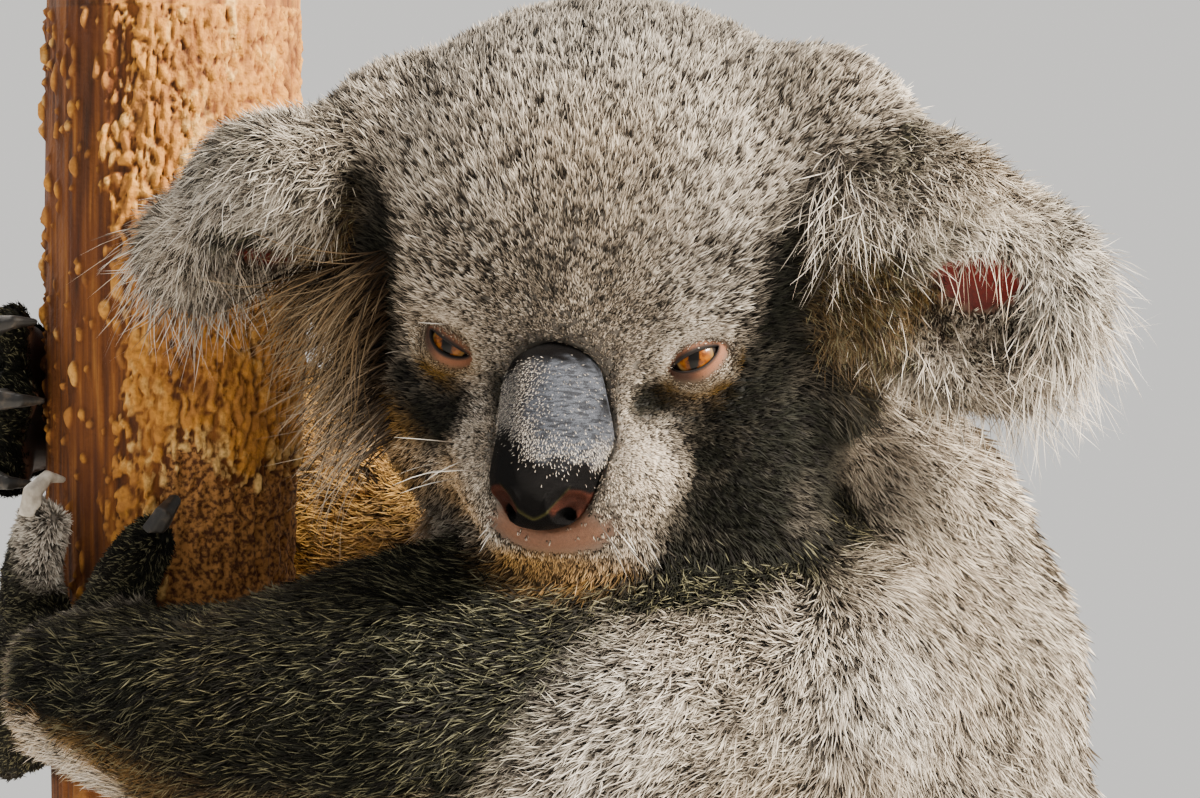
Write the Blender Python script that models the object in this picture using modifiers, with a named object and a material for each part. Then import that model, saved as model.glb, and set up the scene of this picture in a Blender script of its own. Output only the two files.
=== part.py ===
"""A life-size koala that clings to a cut length of tree trunk, on a plain display stand.

Units are metres and +Z is up. The origin is the middle of the base's underside. The tree trunk
stands towards -X with the koala's belly facing it, and the head is turned over the koala's own
left shoulder, to -Y. Left and right are the animal's own. Every form is given out to the tips
of the coat.
"""

import math

import bmesh
import bpy
from mathutils import Matrix, Vector

# ---------------------------------------------------------------- driving dimensions
GAP = 0.0003  # clearance between pieces that touch
WELD = 0.00002  # points closer than this are one
SHARP_ANGLE = math.radians(50)  # edges steeper than this are shaded as edges
SIDES = ("left", "right")
BASE_SIZE = Vector((0.420, 0.380, 0.022))
BASE_CORNER = 0.040
BASE_EDGE = 0.0015  # the small chamfer round the plate's faces
ROD_RADIUS = 0.014
ROD_HEIGHT = 0.055

PERCH_X = -0.124  # the tree trunk's axis
PERCH_TOP = 0.672
PERCH_BOTTOM = BASE_SIZE.z + ROD_HEIGHT
PERCH_RADIUS = 0.0375  # at the hands, which grip it
PERCH_FLARE = 0.004  # the trunk's foot is about half of this thicker
PERCH_WAIST = 0.3  # how far down, as a share of the height, the trunk is thinnest
PERCH_WAVE = 0.0012  # slow swellings along it
PERCH_WAVE_TURN = 9  # and how many radians of a wave there are
PERCH_SIDES = 22
PERCH_STEPS = 7

EYE_HALF_SPACING = 0.0338
EYE_RADIUS = 0.0085
EYE_DEPTH = 0.0070  # from the cornea's plane back to the eyeball's middle
FACE_POINT = Vector((-0.008, -0.125, 0.543))  # half way between the two corneas
HEAD_PITCH = math.radians(20)  # chin down
HEAD_YAW = math.radians(-12)  # towards the tree trunk
HEAD_ROLL = math.radians(4)  # left ear lower

# ---------------------------------------------------------------- forms of the body
# Each form is (centre, radii) of an ellipsoid.
CHEST = ((0.053, 0.000, 0.445), (0.089, 0.088, 0.088))
NAPE = ((0.062, -0.004, 0.486), (0.064, 0.072, 0.056))
THROAT = ((0.000, -0.020, 0.485), (0.055, 0.050, 0.052))
WAIST = ((0.062, 0.000, 0.360), (0.097, 0.096, 0.112))
LOIN = ((0.062, 0.000, 0.312), (0.106, 0.101, 0.080))
BELLY = ((0.064, 0.000, 0.260), (0.107, 0.104, 0.092))
RUMP = ((0.070, 0.000, 0.213), (0.088, 0.094, 0.070))
TORSO_FORMS = (CHEST, NAPE, THROAT, WAIST, LOIN, BELLY, RUMP)
NECK = (((0.045, -0.010, 0.495), 0.066), ((0.008, -0.055, 0.532), 0.056))

# Joints and how thick the limb is round each, fur included.
SHOULDER = {"left": (0.050, -0.068, 0.452), "right": (0.042, 0.070, 0.462)}
UPPER_ARM = {"left": (0.004, -0.090, 0.447), "right": (-0.004, 0.090, 0.468)}
ELBOW = {"left": (-0.044, -0.096, 0.445), "right": (-0.046, 0.092, 0.476)}
FOREARM = {"left": (-0.094, -0.084, 0.440), "right": (-0.084, 0.080, 0.503)}
WRIST = {"left": (-0.146, -0.057, 0.449), "right": (-0.122, 0.060, 0.530)}
ARM_RADII = (0.052, 0.052, 0.048, 0.038, 0.0245)
HIP = (0.058, 0.068, 0.225)
THIGH = (0.000, 0.096, 0.250)
KNEE = (-0.042, 0.112, 0.268)
SHANK = (-0.062, 0.088, 0.222)
ANKLE = (-0.076, 0.058, 0.178)
LEG_RADII = (0.068, 0.058, 0.044, 0.034, 0.023)

# ---------------------------------------------------------------- forms of the head
# In the head's own frame: +X its left, +Y back, +Z up, origin at FACE_POINT.
CRANIUM = ((0.000, 0.052, 0.024), (0.074, 0.063, 0.062))
BROW = ((0.000, 0.024, 0.016), (0.050, 0.036, 0.041))
MUZZLE = ((0.000, -0.006, -0.031), (0.031, 0.027, 0.027))
CHIN = ((0.001, 0.000, -0.055), (0.025, 0.022, 0.021))
BRIDGE = ((0.000, 0.000, -0.010), (0.020, 0.020, 0.022))
CHEEK = ((0.034, 0.026, -0.024), (0.027, 0.030, 0.034))
JOWL = ((0.042, 0.052, -0.020), (0.032, 0.036, 0.040))
RUFF = {  # the fringe under the jaw, fuller on the side where it hangs over the shoulder
    "left": ((0.027, 0.030, -0.049), (0.039, 0.034, 0.032)),
    "right": ((0.024, 0.034, -0.044), (0.028, 0.030, 0.028)),
}
EAR_ROOT = {
    "left": ((0.058, 0.050, 0.048), (0.033, 0.028, 0.031)),
    "right": ((0.058, 0.048, 0.028), (0.030, 0.028, 0.042)),
}
NOSE_STATIONS = (
    ((-0.0020, -0.0120, -0.0064), 0.0147),
    ((0.0000, -0.0185, -0.0150), 0.0160),
    ((-0.0022, -0.0252, -0.0262), 0.0149),
)
NOSTRIL = {
    "left": ((0.0085, -0.0358, -0.0338), (0.0050, 0.0045, 0.0040)),
    "right": ((-0.0125, -0.0358, -0.0338), (0.0050, 0.0045, 0.0040)),
}

EAR_FORMS = {  # in the ear's own frame: +X to its tip, +Y back, +Z to its upper rim
    "left": (
        ((-0.020, 0.000, 0.000), (0.038, 0.022, 0.037)),
        ((0.010, 0.002, 0.000), (0.036, 0.020, 0.035)),
    ),
    "right": (
        ((-0.018, 0.000, 0.000), (0.036, 0.022, 0.037)),
        ((0.014, 0.000, 0.004), (0.034, 0.016, 0.023)),
    ),
}
EAR_CUP = {
    "left": ((0.002, -0.021, -0.004), (0.024, 0.019, 0.022)),
    "right": ((0.002, -0.016, -0.010), (0.028, 0.018, 0.024)),
}
EAR_PLACE = {  # centre, then degrees that it is swept back, droops and leans forwards
    "left": ((0.100, 0.050, 0.012), 25, 36, 8),
    "right": ((0.099, 0.050, 0.014), 25, 33, 42),
}

# ---------------------------------------------------------------- paws
# A digit runs through three stations, each (angle round the trunk, height, distance off the bark).
# Angles are in degrees for a left paw, from +X, seen from above; a right paw mirrors them.
HAND_DIGITS = {
    "left": {
        "first": ((225, 0.460, 0.013), (222, 0.482, 0.014), (226, 0.497, 0.013)),
        "second": ((251, 0.459, 0.014), (257, 0.479, 0.015), (266, 0.492, 0.013)),
        "third": ((216, 0.458, 0.013), (190, 0.466, 0.011), (166, 0.470, 0.010)),
        "fourth": ((214, 0.447, 0.013), (188, 0.450, 0.011), (160, 0.450, 0.010)),
        "fifth": ((218, 0.436, 0.012), (193, 0.433, 0.011), (168, 0.429, 0.010)),
    },
    "right": {
        "first": ((244, 0.546, 0.013), (247, 0.565, 0.013), (249, 0.580, 0.012)),
        "second": ((266, 0.545, 0.013), (275, 0.564, 0.013), (284, 0.578, 0.012)),
        "third": ((214, 0.542, 0.013), (186, 0.549, 0.011), (160, 0.552, 0.010)),
        "fourth": ((212, 0.531, 0.013), (184, 0.533, 0.011), (155, 0.532, 0.010)),
        "fifth": ((216, 0.520, 0.012), (189, 0.516, 0.011), (163, 0.511, 0.010)),
    },
}
PALMS = {
    "left": ((246, 0.450, 0.019), (226, 0.450, 0.015)),
    "right": ((246, 0.533, 0.019), (224, 0.533, 0.015)),
}
FOOT_DIGITS = {
    "great": ((285, 0.182, 0.013), (268, 0.170, 0.012), (253, 0.162, 0.011)),
    "fused": ((278, 0.198, 0.013), (260, 0.214, 0.011), (244, 0.226, 0.010)),
    "fourth": ((272, 0.193, 0.013), (249, 0.203, 0.011), (229, 0.210, 0.010)),
    "fifth": ((272, 0.186, 0.013), (250, 0.189, 0.011), (231, 0.190, 0.010)),
}
SOLE = ((304, 0.182, 0.020), (282, 0.190, 0.015))
DIGIT_RADII = (0.0110, 0.0095, 0.0085)
PALM_RADIUS = 0.0195
SOLE_RADIUS = 0.0200
CLAW_ROOT_RADIUS = 0.0037
CLAW_TIP_RADIUS = 0.0008
CLAW_LENGTH = 0.0200
CLAW_BEND = math.radians(52)  # at each of its steps
CLAW_STEPS = 4
CLAW_AHEAD = 0.002  # its root is this far ahead of the digit's last station
CLAW_OUTWARDS = 0.005  # and this far out from it, away from the bark
CLAW_RISE = 0.15  # how much it points away from the bark before it bends
CLAW_TAPER = 1.3
CLAWLESS = ("great",)  # a koala's great toe has no claw

# ---------------------------------------------------------------- detail of the surfaces
BODY_VOXEL, BODY_SMOOTHING, BODY_TRIANGLES = 0.0055, 6, 615
HEAD_VOXEL, HEAD_SMOOTHING, HEAD_TRIANGLES = 0.0030, 6, 580
EAR_VOXEL, EAR_SMOOTHING, EAR_TRIANGLES = 0.0026, 4, 135
PAW_VOXEL, PAW_SMOOTHING = 0.0022, 3
HAND_TRIANGLES, FOOT_TRIANGLES = 200, 100
NOSE_VOXEL, NOSE_SMOOTHING, NOSE_TRIANGLES = 0.0013, 6, 128
SLEEVE_MARGIN = 0.007  # a limb's share of the body reaches this far past the limb's own radius
SLEEVE_ROOT = 0.85  # and is drawn in by this factor where the limb joins the body


def hexed(code):
    """An sRGB hex colour as the linear colour that a shader takes."""
    channels = [int(code[i : i + 2], 16) / 255 for i in (0, 2, 4)]
    linear = [c / 12.92 if c <= 0.04045 else ((c + 0.055) / 1.055) ** 2.4 for c in channels]
    return (*linear, 1.0)


FINISHES = {  # name: (colour, roughness, metallic)
    "fur_grey": ("8F887E", 0.90, 0.0),
    "nose_leather": ("34343A", 0.45, 0.0),
    "eye": ("5A3413", 0.10, 0.0),
    "claw_horn": ("26231F", 0.40, 0.0),
    "bark": ("A9713B", 0.90, 0.0),
    "stand_board": ("3B3A38", 0.50, 0.0),
    "stand_steel": ("8C8F93", 0.35, 1.0),
}


def make_material(name):
    colour, roughness, metallic = FINISHES[name]
    material = bpy.data.materials.new(name)
    material.use_nodes = True
    shader = material.node_tree.nodes["Principled BSDF"]
    shader.inputs["Base Color"].default_value = hexed(colour)
    shader.inputs["Roughness"].default_value = roughness
    shader.inputs["Metallic"].default_value = metallic
    return material


# ---------------------------------------------------------------- helpers
def add_object(name, mesh, collection):
    obj = bpy.data.objects.new(name, mesh)
    collection.objects.link(obj)
    return obj


def object_of(name, mesh_builder, collection):
    """A new object from a bmesh, which this frees."""
    mesh = bpy.data.meshes.new(name)
    mesh_builder.to_mesh(mesh)
    mesh_builder.free()
    return add_object(name, mesh, collection)


def apply_modifiers(obj):
    """Puts what the modifiers make into the object's own mesh."""
    graph = bpy.context.evaluated_depsgraph_get()
    graph.update()
    mesh = bpy.data.meshes.new_from_object(obj.evaluated_get(graph))
    obj.modifiers.clear()
    obj.data = mesh


def ball(forms, form, frame=Matrix(), detail=28):
    """Adds an ellipsoid, (centre, radii), placed in a frame."""
    centre, radii = form
    place = frame @ Matrix.Translation(centre) @ Matrix.Diagonal((*radii, 1))
    rings = detail * 2 // 3
    bmesh.ops.create_uvsphere(forms, u_segments=detail, v_segments=rings, radius=1, matrix=place)


def chain(forms, stations, frame=Matrix()):
    """Adds a tapering limb: a ball at each (centre, radius) and a cone between neighbours."""
    for centre, radius in stations:
        ball(forms, (centre, (radius,) * 3), frame)
    for (start, start_radius), (end, end_radius) in zip(stations, stations[1:]):
        axis = Vector(end) - Vector(start)
        middle = Matrix.Translation((Vector(start) + Vector(end)) / 2)
        turn = axis.to_track_quat("Z", "Y").to_matrix().to_4x4()
        bmesh.ops.create_cone(
            forms, cap_ends=True, segments=20, radius1=start_radius, radius2=end_radius,
            depth=axis.length, matrix=frame @ middle @ turn,
        )


def fuse(name, forms, voxel, smoothing, triangles, collection):
    """One smooth closed body from overlapping forms, thinned to about so many triangles."""
    obj = object_of(name, forms, collection)
    remesh = obj.modifiers.new("Fuse", "REMESH")
    remesh.mode = "VOXEL"
    remesh.voxel_size = voxel
    smooth = obj.modifiers.new("Round", "SMOOTH")
    smooth.factor = 0.5
    smooth.iterations = smoothing
    apply_modifiers(obj)
    thin = obj.modifiers.new("Thin", "DECIMATE")
    thin.ratio = triangles / (2 * len(obj.data.polygons))
    apply_modifiers(obj)
    return obj


def swollen(obj, by, cutters):
    """A cutter: a copy of the object, larger by a clearance."""
    copy = add_object(obj.name + "_cutter", obj.data.copy(), cutters)
    swell = copy.modifiers.new("Swell", "DISPLACE")
    swell.strength = by
    swell.mid_level = 0
    apply_modifiers(copy)
    return copy


def cut(obj, cutter):
    """Takes a cutter away from the object and keeps the largest body that is left."""
    boolean = obj.modifiers.new("Cut", "BOOLEAN")
    boolean.operation = "DIFFERENCE"
    boolean.object = cutter
    apply_modifiers(obj)
    keep_largest(obj)


def loose_bodies(mesh_builder):
    """The bmesh's separate bodies, as lists of faces."""
    left = set(mesh_builder.faces)
    bodies = []
    while left:
        front = [left.pop()]
        body = list(front)
        while front:
            neighbours = {f for edge in front.pop().edges for f in edge.link_faces} & left
            left -= neighbours
            front += neighbours
            body += neighbours
        bodies.append(body)
    return bodies


def keep_largest(obj):
    """Drops loose scraps, and makes every face flat by cutting it into triangles."""
    forms = bmesh.new()
    forms.from_mesh(obj.data)
    bodies = sorted(loose_bodies(forms), key=lambda body: sum(f.calc_area() for f in body))
    spare = [face for body in bodies[:-1] for face in body]
    bmesh.ops.delete(forms, geom=spare, context="FACES")
    bmesh.ops.triangulate(forms, faces=forms.faces)
    forms.to_mesh(obj.data)
    forms.free()


def finish(obj, material):
    obj.data.materials.clear()
    obj.data.materials.append(material)
    obj.data.shade_smooth()
    obj.data.set_sharp_from_angle(angle=SHARP_ANGLE)


# ---------------------------------------------------------------- perch and stand
def make_perch(collection):
    """The cut length of trunk: a turned profile that thickens towards its foot."""
    height = PERCH_TOP - PERCH_BOTTOM
    profile = [(0.0, PERCH_TOP)]
    for step in range(PERCH_STEPS + 1):
        down = step / PERCH_STEPS
        waviness = PERCH_WAVE * math.sin(PERCH_WAVE_TURN * down)
        radius = PERCH_RADIUS + PERCH_FLARE * (down - PERCH_WAIST) ** 2 + waviness
        profile.append((radius, PERCH_TOP - height * down))
    profile.append((0.0, PERCH_BOTTOM))
    mesh = bpy.data.meshes.new("perch")
    edges = [(i, i + 1) for i in range(len(profile) - 1)]
    mesh.from_pydata([(r, 0, z) for r, z in profile], edges, [])
    perch = add_object("perch", mesh, collection)
    screw = perch.modifiers.new("Turn", "SCREW")
    screw.steps = screw.render_steps = PERCH_SIDES
    screw.use_merge_vertices = True
    screw.merge_threshold = 0.0001
    apply_modifiers(perch)
    perch.data.transform(Matrix.Translation((PERCH_X, 0, 0)))
    return perch


def make_stand(collection):
    """The flat base and the short rod that carries the trunk."""
    plate = bmesh.new()
    bmesh.ops.create_cube(plate, size=1, matrix=Matrix.Diagonal((*BASE_SIZE, 1)))
    uprights = [e for e in plate.edges if e.verts[0].co.xy == e.verts[1].co.xy]
    bmesh.ops.bevel(plate, geom=uprights, offset=BASE_CORNER, segments=5, affect="EDGES", profile=0.5)
    base = object_of("stand_base", plate, collection)
    base.location.z = BASE_SIZE.z / 2
    edge = base.modifiers.new("Edge", "BEVEL")
    edge.width = BASE_EDGE
    edge.segments = 1
    rod_shape = bmesh.new()
    bmesh.ops.create_cone(
        rod_shape, cap_ends=True, segments=24, radius1=ROD_RADIUS, radius2=ROD_RADIUS,
        depth=ROD_HEIGHT - 2 * GAP,
    )
    rod = object_of("stand_rod", rod_shape, collection)
    rod.location = (PERCH_X, 0, BASE_SIZE.z + ROD_HEIGHT / 2)
    return base, rod


# ---------------------------------------------------------------- body
def on_perch(angle, height, off, side):
    """A point round the tree trunk, at a distance off its bark, for a left or right paw."""
    around = math.radians(angle)
    across = math.sin(around) * sign_of(side)
    out = PERCH_RADIUS + off
    return Vector((PERCH_X + out * math.cos(around), out * across, height))


def mirrored(point, side):
    x, y, z = point
    return (x, -y if side == "left" else y, z)


def arm_stations(side):
    joints = [place[side] for place in (SHOULDER, UPPER_ARM, ELBOW, FOREARM, WRIST)]
    return list(zip(joints, ARM_RADII))


def leg_stations(side):
    joints = [mirrored(place, side) for place in (HIP, THIGH, KNEE, SHANK, ANKLE)]
    return list(zip(joints, LEG_RADII))


def make_body(collection):
    forms = bmesh.new()
    for form in TORSO_FORMS:
        ball(forms, form)
    chain(forms, NECK)
    for side in SIDES:
        chain(forms, arm_stations(side))
        chain(forms, leg_stations(side))
    return fuse("body", forms, BODY_VOXEL, BODY_SMOOTHING, BODY_TRIANGLES, collection)


def sleeve(name, stations, cutters):
    """The room that a limb's stretch takes up: the hull of slightly larger balls along it."""
    forms = bmesh.new()
    for number, (centre, radius) in enumerate(stations):
        place = Matrix.Translation(centre)
        reach = radius * (1 if number else SLEEVE_ROOT) + SLEEVE_MARGIN
        bmesh.ops.create_uvsphere(forms, u_segments=9, v_segments=6, radius=reach, matrix=place)
    bmesh.ops.delete(forms, geom=list(forms.edges), context="EDGES_FACES")
    bmesh.ops.convex_hull(forms, input=forms.verts)
    bmesh.ops.delete(forms, geom=[v for v in forms.verts if not v.link_faces], context="VERTS")
    return object_of(name + "_sleeve", forms, cutters)


def take(body, name, stations, collection, cutters):
    """Parts a limb's stretch from the body, with a thin cut between the two."""
    room = sleeve(name, stations, cutters)
    piece = add_object(name, body.data.copy(), collection)
    share = piece.modifiers.new("Share", "BOOLEAN")
    share.operation = "INTERSECT"
    share.object = room
    apply_modifiers(piece)
    keep_largest(piece)
    cut(body, swollen(room, 2 * GAP, cutters))
    return piece


def divide_body(body, collection, cutters):
    """Parts the limbs and the neck from the body; what is left is the torso."""
    pieces = []
    for side in SIDES:
        arm, leg = arm_stations(side), leg_stations(side)
        for name, stations in (
            ("forearm_", arm[2:]),
            ("upper_arm_", arm[:3]),
            ("shank_", leg[2:]),
            ("thigh_", leg[:3]),
        ):
            pieces.append(take(body, name + side, stations, collection, cutters))
    pieces.append(take(body, "neck", NECK[1:], collection, cutters))
    body.name = "torso"
    return [*pieces, body]


# ---------------------------------------------------------------- head
HEAD_FRAME = (
    Matrix.Translation(FACE_POINT)
    @ Matrix.Rotation(HEAD_ROLL, 4, "Y")
    @ Matrix.Rotation(HEAD_YAW, 4, "Z")
    @ Matrix.Rotation(HEAD_PITCH, 4, "X")
)


def sign_of(side):
    return 1 if side == "left" else -1


def sided(form, side):
    (x, y, z), radii = form
    return ((sign_of(side) * x, y, z), radii)


def make_head(collection):
    forms = bmesh.new()
    for form in (CRANIUM, BROW, BRIDGE, MUZZLE, CHIN):
        ball(forms, form, HEAD_FRAME)
    for side in SIDES:
        for form in (CHEEK, JOWL, RUFF[side], EAR_ROOT[side]):
            ball(forms, sided(form, side), HEAD_FRAME)
    return fuse("head", forms, HEAD_VOXEL, HEAD_SMOOTHING, HEAD_TRIANGLES, collection)


def make_ear(side, collection, cutters):
    """A thick drooping flap, hollowed on the side that faces forwards and down."""
    sign = sign_of(side)
    (out, back, up), sweep, droop, lean = EAR_PLACE[side]
    place = (
        HEAD_FRAME
        @ Matrix.Translation((sign * out, back, up))
        @ Matrix.Rotation(sign * math.radians(sweep), 4, "Z")
        @ Matrix.Rotation(sign * math.radians(droop), 4, "Y")
        @ Matrix.Rotation(math.radians(lean), 4, "X")
    )
    flap = bmesh.new()
    for form in EAR_FORMS[side]:
        ball(flap, sided(form, side), place)
    name = "ear_" + side
    ear = fuse(name, flap, EAR_VOXEL, EAR_SMOOTHING, EAR_TRIANGLES, collection)
    hollow = bmesh.new()
    ball(hollow, sided(EAR_CUP[side], side), place, detail=12)
    cut(ear, object_of(f"ear_cup_{side}", hollow, cutters))
    return ear


def make_nose(collection, cutters):
    forms = bmesh.new()
    chain(forms, NOSE_STATIONS, HEAD_FRAME)
    nose = fuse("nose", forms, NOSE_VOXEL, NOSE_SMOOTHING, NOSE_TRIANGLES, collection)
    for side in SIDES:
        hollow = bmesh.new()
        ball(hollow, NOSTRIL[side], HEAD_FRAME, detail=8)
        cut(nose, object_of("nostril", hollow, cutters))
    return nose


def make_eye(side, collection):
    eyeball = bmesh.new()
    across = sign_of(side) * EYE_HALF_SPACING
    place = HEAD_FRAME @ Matrix.Translation((across, EYE_DEPTH, 0))
    bmesh.ops.create_uvsphere(eyeball, u_segments=12, v_segments=7, radius=EYE_RADIUS, matrix=place)
    return object_of("eye_" + side, eyeball, collection)


# ---------------------------------------------------------------- paws and claws
def make_paw(name, side, heel, heel_radius, digits, triangles, collection):
    forms = bmesh.new()
    chain(forms, [(on_perch(*s, side), heel_radius) for s in heel])
    for stations in digits.values():
        places = [on_perch(*s, side) for s in stations]
        chain(forms, list(zip(places, DIGIT_RADII)))
    return fuse(name, forms, PAW_VOXEL, PAW_SMOOTHING, triangles, collection)


def make_claw(name, side, stations, collection):
    """A tapering horn that leaves the digit's tip and bends towards the bark."""
    before, tip = (on_perch(*s, side) for s in stations[-2:])
    forward = (tip - before).normalized()
    inward = Vector((PERCH_X - tip.x, -tip.y, 0)).normalized()
    curve = bpy.data.curves.new(name, "CURVE")
    curve.dimensions = "3D"
    curve.bevel_depth = CLAW_ROOT_RADIUS
    curve.bevel_resolution = 1
    curve.use_fill_caps = True
    spline = curve.splines.new("POLY")
    spline.points.add(CLAW_STEPS - 1)
    place = tip + forward * CLAW_AHEAD - inward * CLAW_OUTWARDS
    heading = (forward - inward * CLAW_RISE).normalized()
    bend = Matrix.Rotation(CLAW_BEND, 4, heading.cross(inward).normalized())
    for step, point in enumerate(spline.points):
        share = step / (CLAW_STEPS - 1)
        point.co = (*place, 1)
        point.radius = 1 + share**CLAW_TAPER * (CLAW_TIP_RADIUS / CLAW_ROOT_RADIUS - 1)
        place = place + heading * (CLAW_LENGTH / (CLAW_STEPS - 1))
        heading = bend @ heading
    obj = add_object(name, curve, collection)
    graph = bpy.context.evaluated_depsgraph_get()
    mesh = bpy.data.meshes.new_from_object(obj.evaluated_get(graph))
    welded = bmesh.new()
    welded.from_mesh(mesh)
    bmesh.ops.remove_doubles(welded, verts=welded.verts, dist=WELD)
    bpy.data.objects.remove(obj)
    return object_of(name, welded, collection)


def main():
    for obj in list(bpy.data.objects):
        bpy.data.objects.remove(obj)
    scene = bpy.context.scene.collection
    koala = bpy.data.collections.new("koala")
    cutters = bpy.data.collections.new("cutters")
    scene.children.link(koala)
    scene.children.link(cutters)
    cutters.hide_render = True
    finishes = {name: make_material(name) for name in FINISHES}

    perch = make_perch(koala)
    base, rod = make_stand(koala)
    bark = swollen(perch, GAP, cutters)

    nose = make_nose(koala, cutters)
    eyes = [make_eye(side, koala) for side in SIDES]
    head = make_head(koala)
    for feature in (nose, *eyes):
        cut(head, swollen(feature, GAP, cutters))
    head_cutter = swollen(head, GAP, cutters)

    body = make_body(koala)
    cut(body, bark)
    cut(body, head_cutter)
    body_cutter = swollen(body, GAP, cutters)
    ears = [make_ear(side, koala, cutters) for side in SIDES]
    for ear in ears:
        for cutter in (bark, head_cutter, body_cutter):
            cut(ear, cutter)

    paws, claws = [], []
    for side in SIDES:
        fingers, toes = HAND_DIGITS[side], FOOT_DIGITS
        palm = PALMS[side]
        hand = make_paw("hand_" + side, side, palm, PALM_RADIUS, fingers, HAND_TRIANGLES, koala)
        foot = make_paw("foot_" + side, side, SOLE, SOLE_RADIUS, toes, FOOT_TRIANGLES, koala)
        for paw, digits in ((hand, fingers), (foot, toes)):
            cut(paw, bark)
            cut(paw, body_cutter)
            paw_cutter = swollen(paw, GAP, cutters)
            for digit, stations in digits.items():
                if digit in CLAWLESS:
                    continue
                name = f"claw_{paw.name}_{digit}"
                claw = make_claw(name, side, stations, koala)
                cut(claw, paw_cutter)
                cut(claw, bark)
                claws.append(claw)
            paws.append(paw)

    pieces = divide_body(body, koala, cutters)
    for obj in (*pieces, head, *ears, *paws):
        finish(obj, finishes["fur_grey"])
    for obj in eyes:
        finish(obj, finishes["eye"])
    for obj in claws:
        finish(obj, finishes["claw_horn"])
    finish(nose, finishes["nose_leather"])
    finish(perch, finishes["bark"])
    finish(base, finishes["stand_board"])
    finish(rod, finishes["stand_steel"])
    for cutter in cutters.objects:
        cutter.hide_render = True
        cutter.display_type = "WIRE"


main()
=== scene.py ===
# %% [markdown]
# # A life-size koala on a cut length of tree trunk
#
# The solids give the animal's true size out to the tips of its coat. This lesson dresses them:
# a skin just inside them, a face, a coat of thin tufts, a bark and a stand.
# The solids are loaded first, because every later piece takes its place from them.

# %% Load the solids
import math

import bmesh
import bpy
import numpy as np
from mathutils import Matrix, Vector
from mathutils.bvhtree import BVHTree
from mathutils.kdtree import KDTree


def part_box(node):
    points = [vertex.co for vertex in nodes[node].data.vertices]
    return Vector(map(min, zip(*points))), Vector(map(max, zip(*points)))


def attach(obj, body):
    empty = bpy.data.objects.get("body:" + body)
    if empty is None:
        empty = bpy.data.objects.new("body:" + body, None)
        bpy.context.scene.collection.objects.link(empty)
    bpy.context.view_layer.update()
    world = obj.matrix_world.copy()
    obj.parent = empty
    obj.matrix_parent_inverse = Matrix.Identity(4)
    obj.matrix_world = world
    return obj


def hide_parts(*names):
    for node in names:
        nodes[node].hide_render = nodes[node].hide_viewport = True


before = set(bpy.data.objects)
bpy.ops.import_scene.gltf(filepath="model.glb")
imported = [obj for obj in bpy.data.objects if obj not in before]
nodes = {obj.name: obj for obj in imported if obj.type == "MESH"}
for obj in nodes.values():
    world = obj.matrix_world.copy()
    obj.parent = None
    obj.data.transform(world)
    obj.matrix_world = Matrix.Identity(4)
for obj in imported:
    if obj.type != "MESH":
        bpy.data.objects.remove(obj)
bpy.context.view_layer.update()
SIDES = ("left", "right")
SIGN = {"left": 1, "right": -1}

# %% [markdown]
# ## Where the head points
#
# The face is shaped in the head's own frame: +X to its left, +Y back and +Z up, from half way
# between the corneas. The three turns are the solids' own.

# %% The head's frame
HEAD_PITCH = math.radians(20)
HEAD_YAW = math.radians(-12)
HEAD_ROLL = math.radians(4)
EYE_DEPTH = 0.0070  # from the corneas' plane back to the eyeballs' middles
HEAD_TURN = (
    Matrix.Rotation(HEAD_ROLL, 4, "Y")
    @ Matrix.Rotation(HEAD_YAW, 4, "Z")
    @ Matrix.Rotation(HEAD_PITCH, 4, "X")
)
EYES = {side: sum(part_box("eye_" + side), Vector()) / 2 for side in SIDES}
FACE_POINT = (EYES["left"] + EYES["right"]) / 2 - HEAD_TURN.to_3x3() @ Vector((0, EYE_DEPTH, 0))
HEAD = Matrix.Translation(FACE_POINT) @ HEAD_TURN


def placed(points, place):
    """Points moved by a 4 x 4 matrix."""
    matrix = np.array(place)
    return points @ matrix[:3, :3].T + matrix[:3, 3]


def in_frame(points, place):
    """The same points, as seen from a frame."""
    return placed(points, place.inverted())


print("face point in mm:", [round(1000 * x, 1) for x in FACE_POINT])

# %% [markdown]
# ## Helpers for meshes
#
# Fur means a million small faces, so meshes are made from whole arrays of numbers at once.

# %% Vectors and soft steps
DOWN = np.array((0, 0, -1.0))


def unit(vectors):
    length = np.linalg.norm(vectors, axis=-1, keepdims=True)
    return vectors / np.maximum(length, 1e-9)


def smoothstep(low, high, values):
    """0 at the first value, 1 at the second, with a soft rise between."""
    share = np.clip((values - low) / (high - low), 0, 1)
    return share * share * (3 - 2 * share)


def bell(values, centre, width):
    """1 where a value is at the centre, falling away like a bell on both sides."""
    return np.exp(-(((values - centre) / width) ** 2))


print("a soft step's quarter is", float(smoothstep(0, 1, 0.25)))

# %% Meshes from arrays
def new_piece(name, points, faces, material, smooth=True):
    """An object from points and faces that all have the same number of corners."""
    mesh = bpy.data.meshes.new(name)
    corners = faces.shape[1]
    mesh.vertices.add(len(points))
    mesh.vertices.foreach_set("co", points.astype(np.float32).ravel())
    mesh.loops.add(faces.size)
    mesh.loops.foreach_set("vertex_index", faces.astype(np.int32).ravel())
    mesh.polygons.add(len(faces))
    mesh.polygons.foreach_set("loop_start", np.arange(0, faces.size, corners, dtype=np.int32))
    mesh.polygons.foreach_set("use_smooth", np.full(len(faces), smooth))
    mesh.update(calc_edges=True)
    mesh.materials.append(material)
    piece = bpy.data.objects.new(name, mesh)
    bpy.context.scene.collection.objects.link(piece)
    return piece


def write_field(mesh, name, values):
    """Stores one vector for each vertex, for a material to read."""
    attribute = mesh.attributes.new(name, "FLOAT_VECTOR", "POINT")
    attribute.data.foreach_set("vector", values.astype(np.float32).ravel())

# %% [markdown]
# The other way round, a mesh is read back as arrays. A value on it is blurred by drawing each
# point's value towards its neighbours' mean, again and again.

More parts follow.
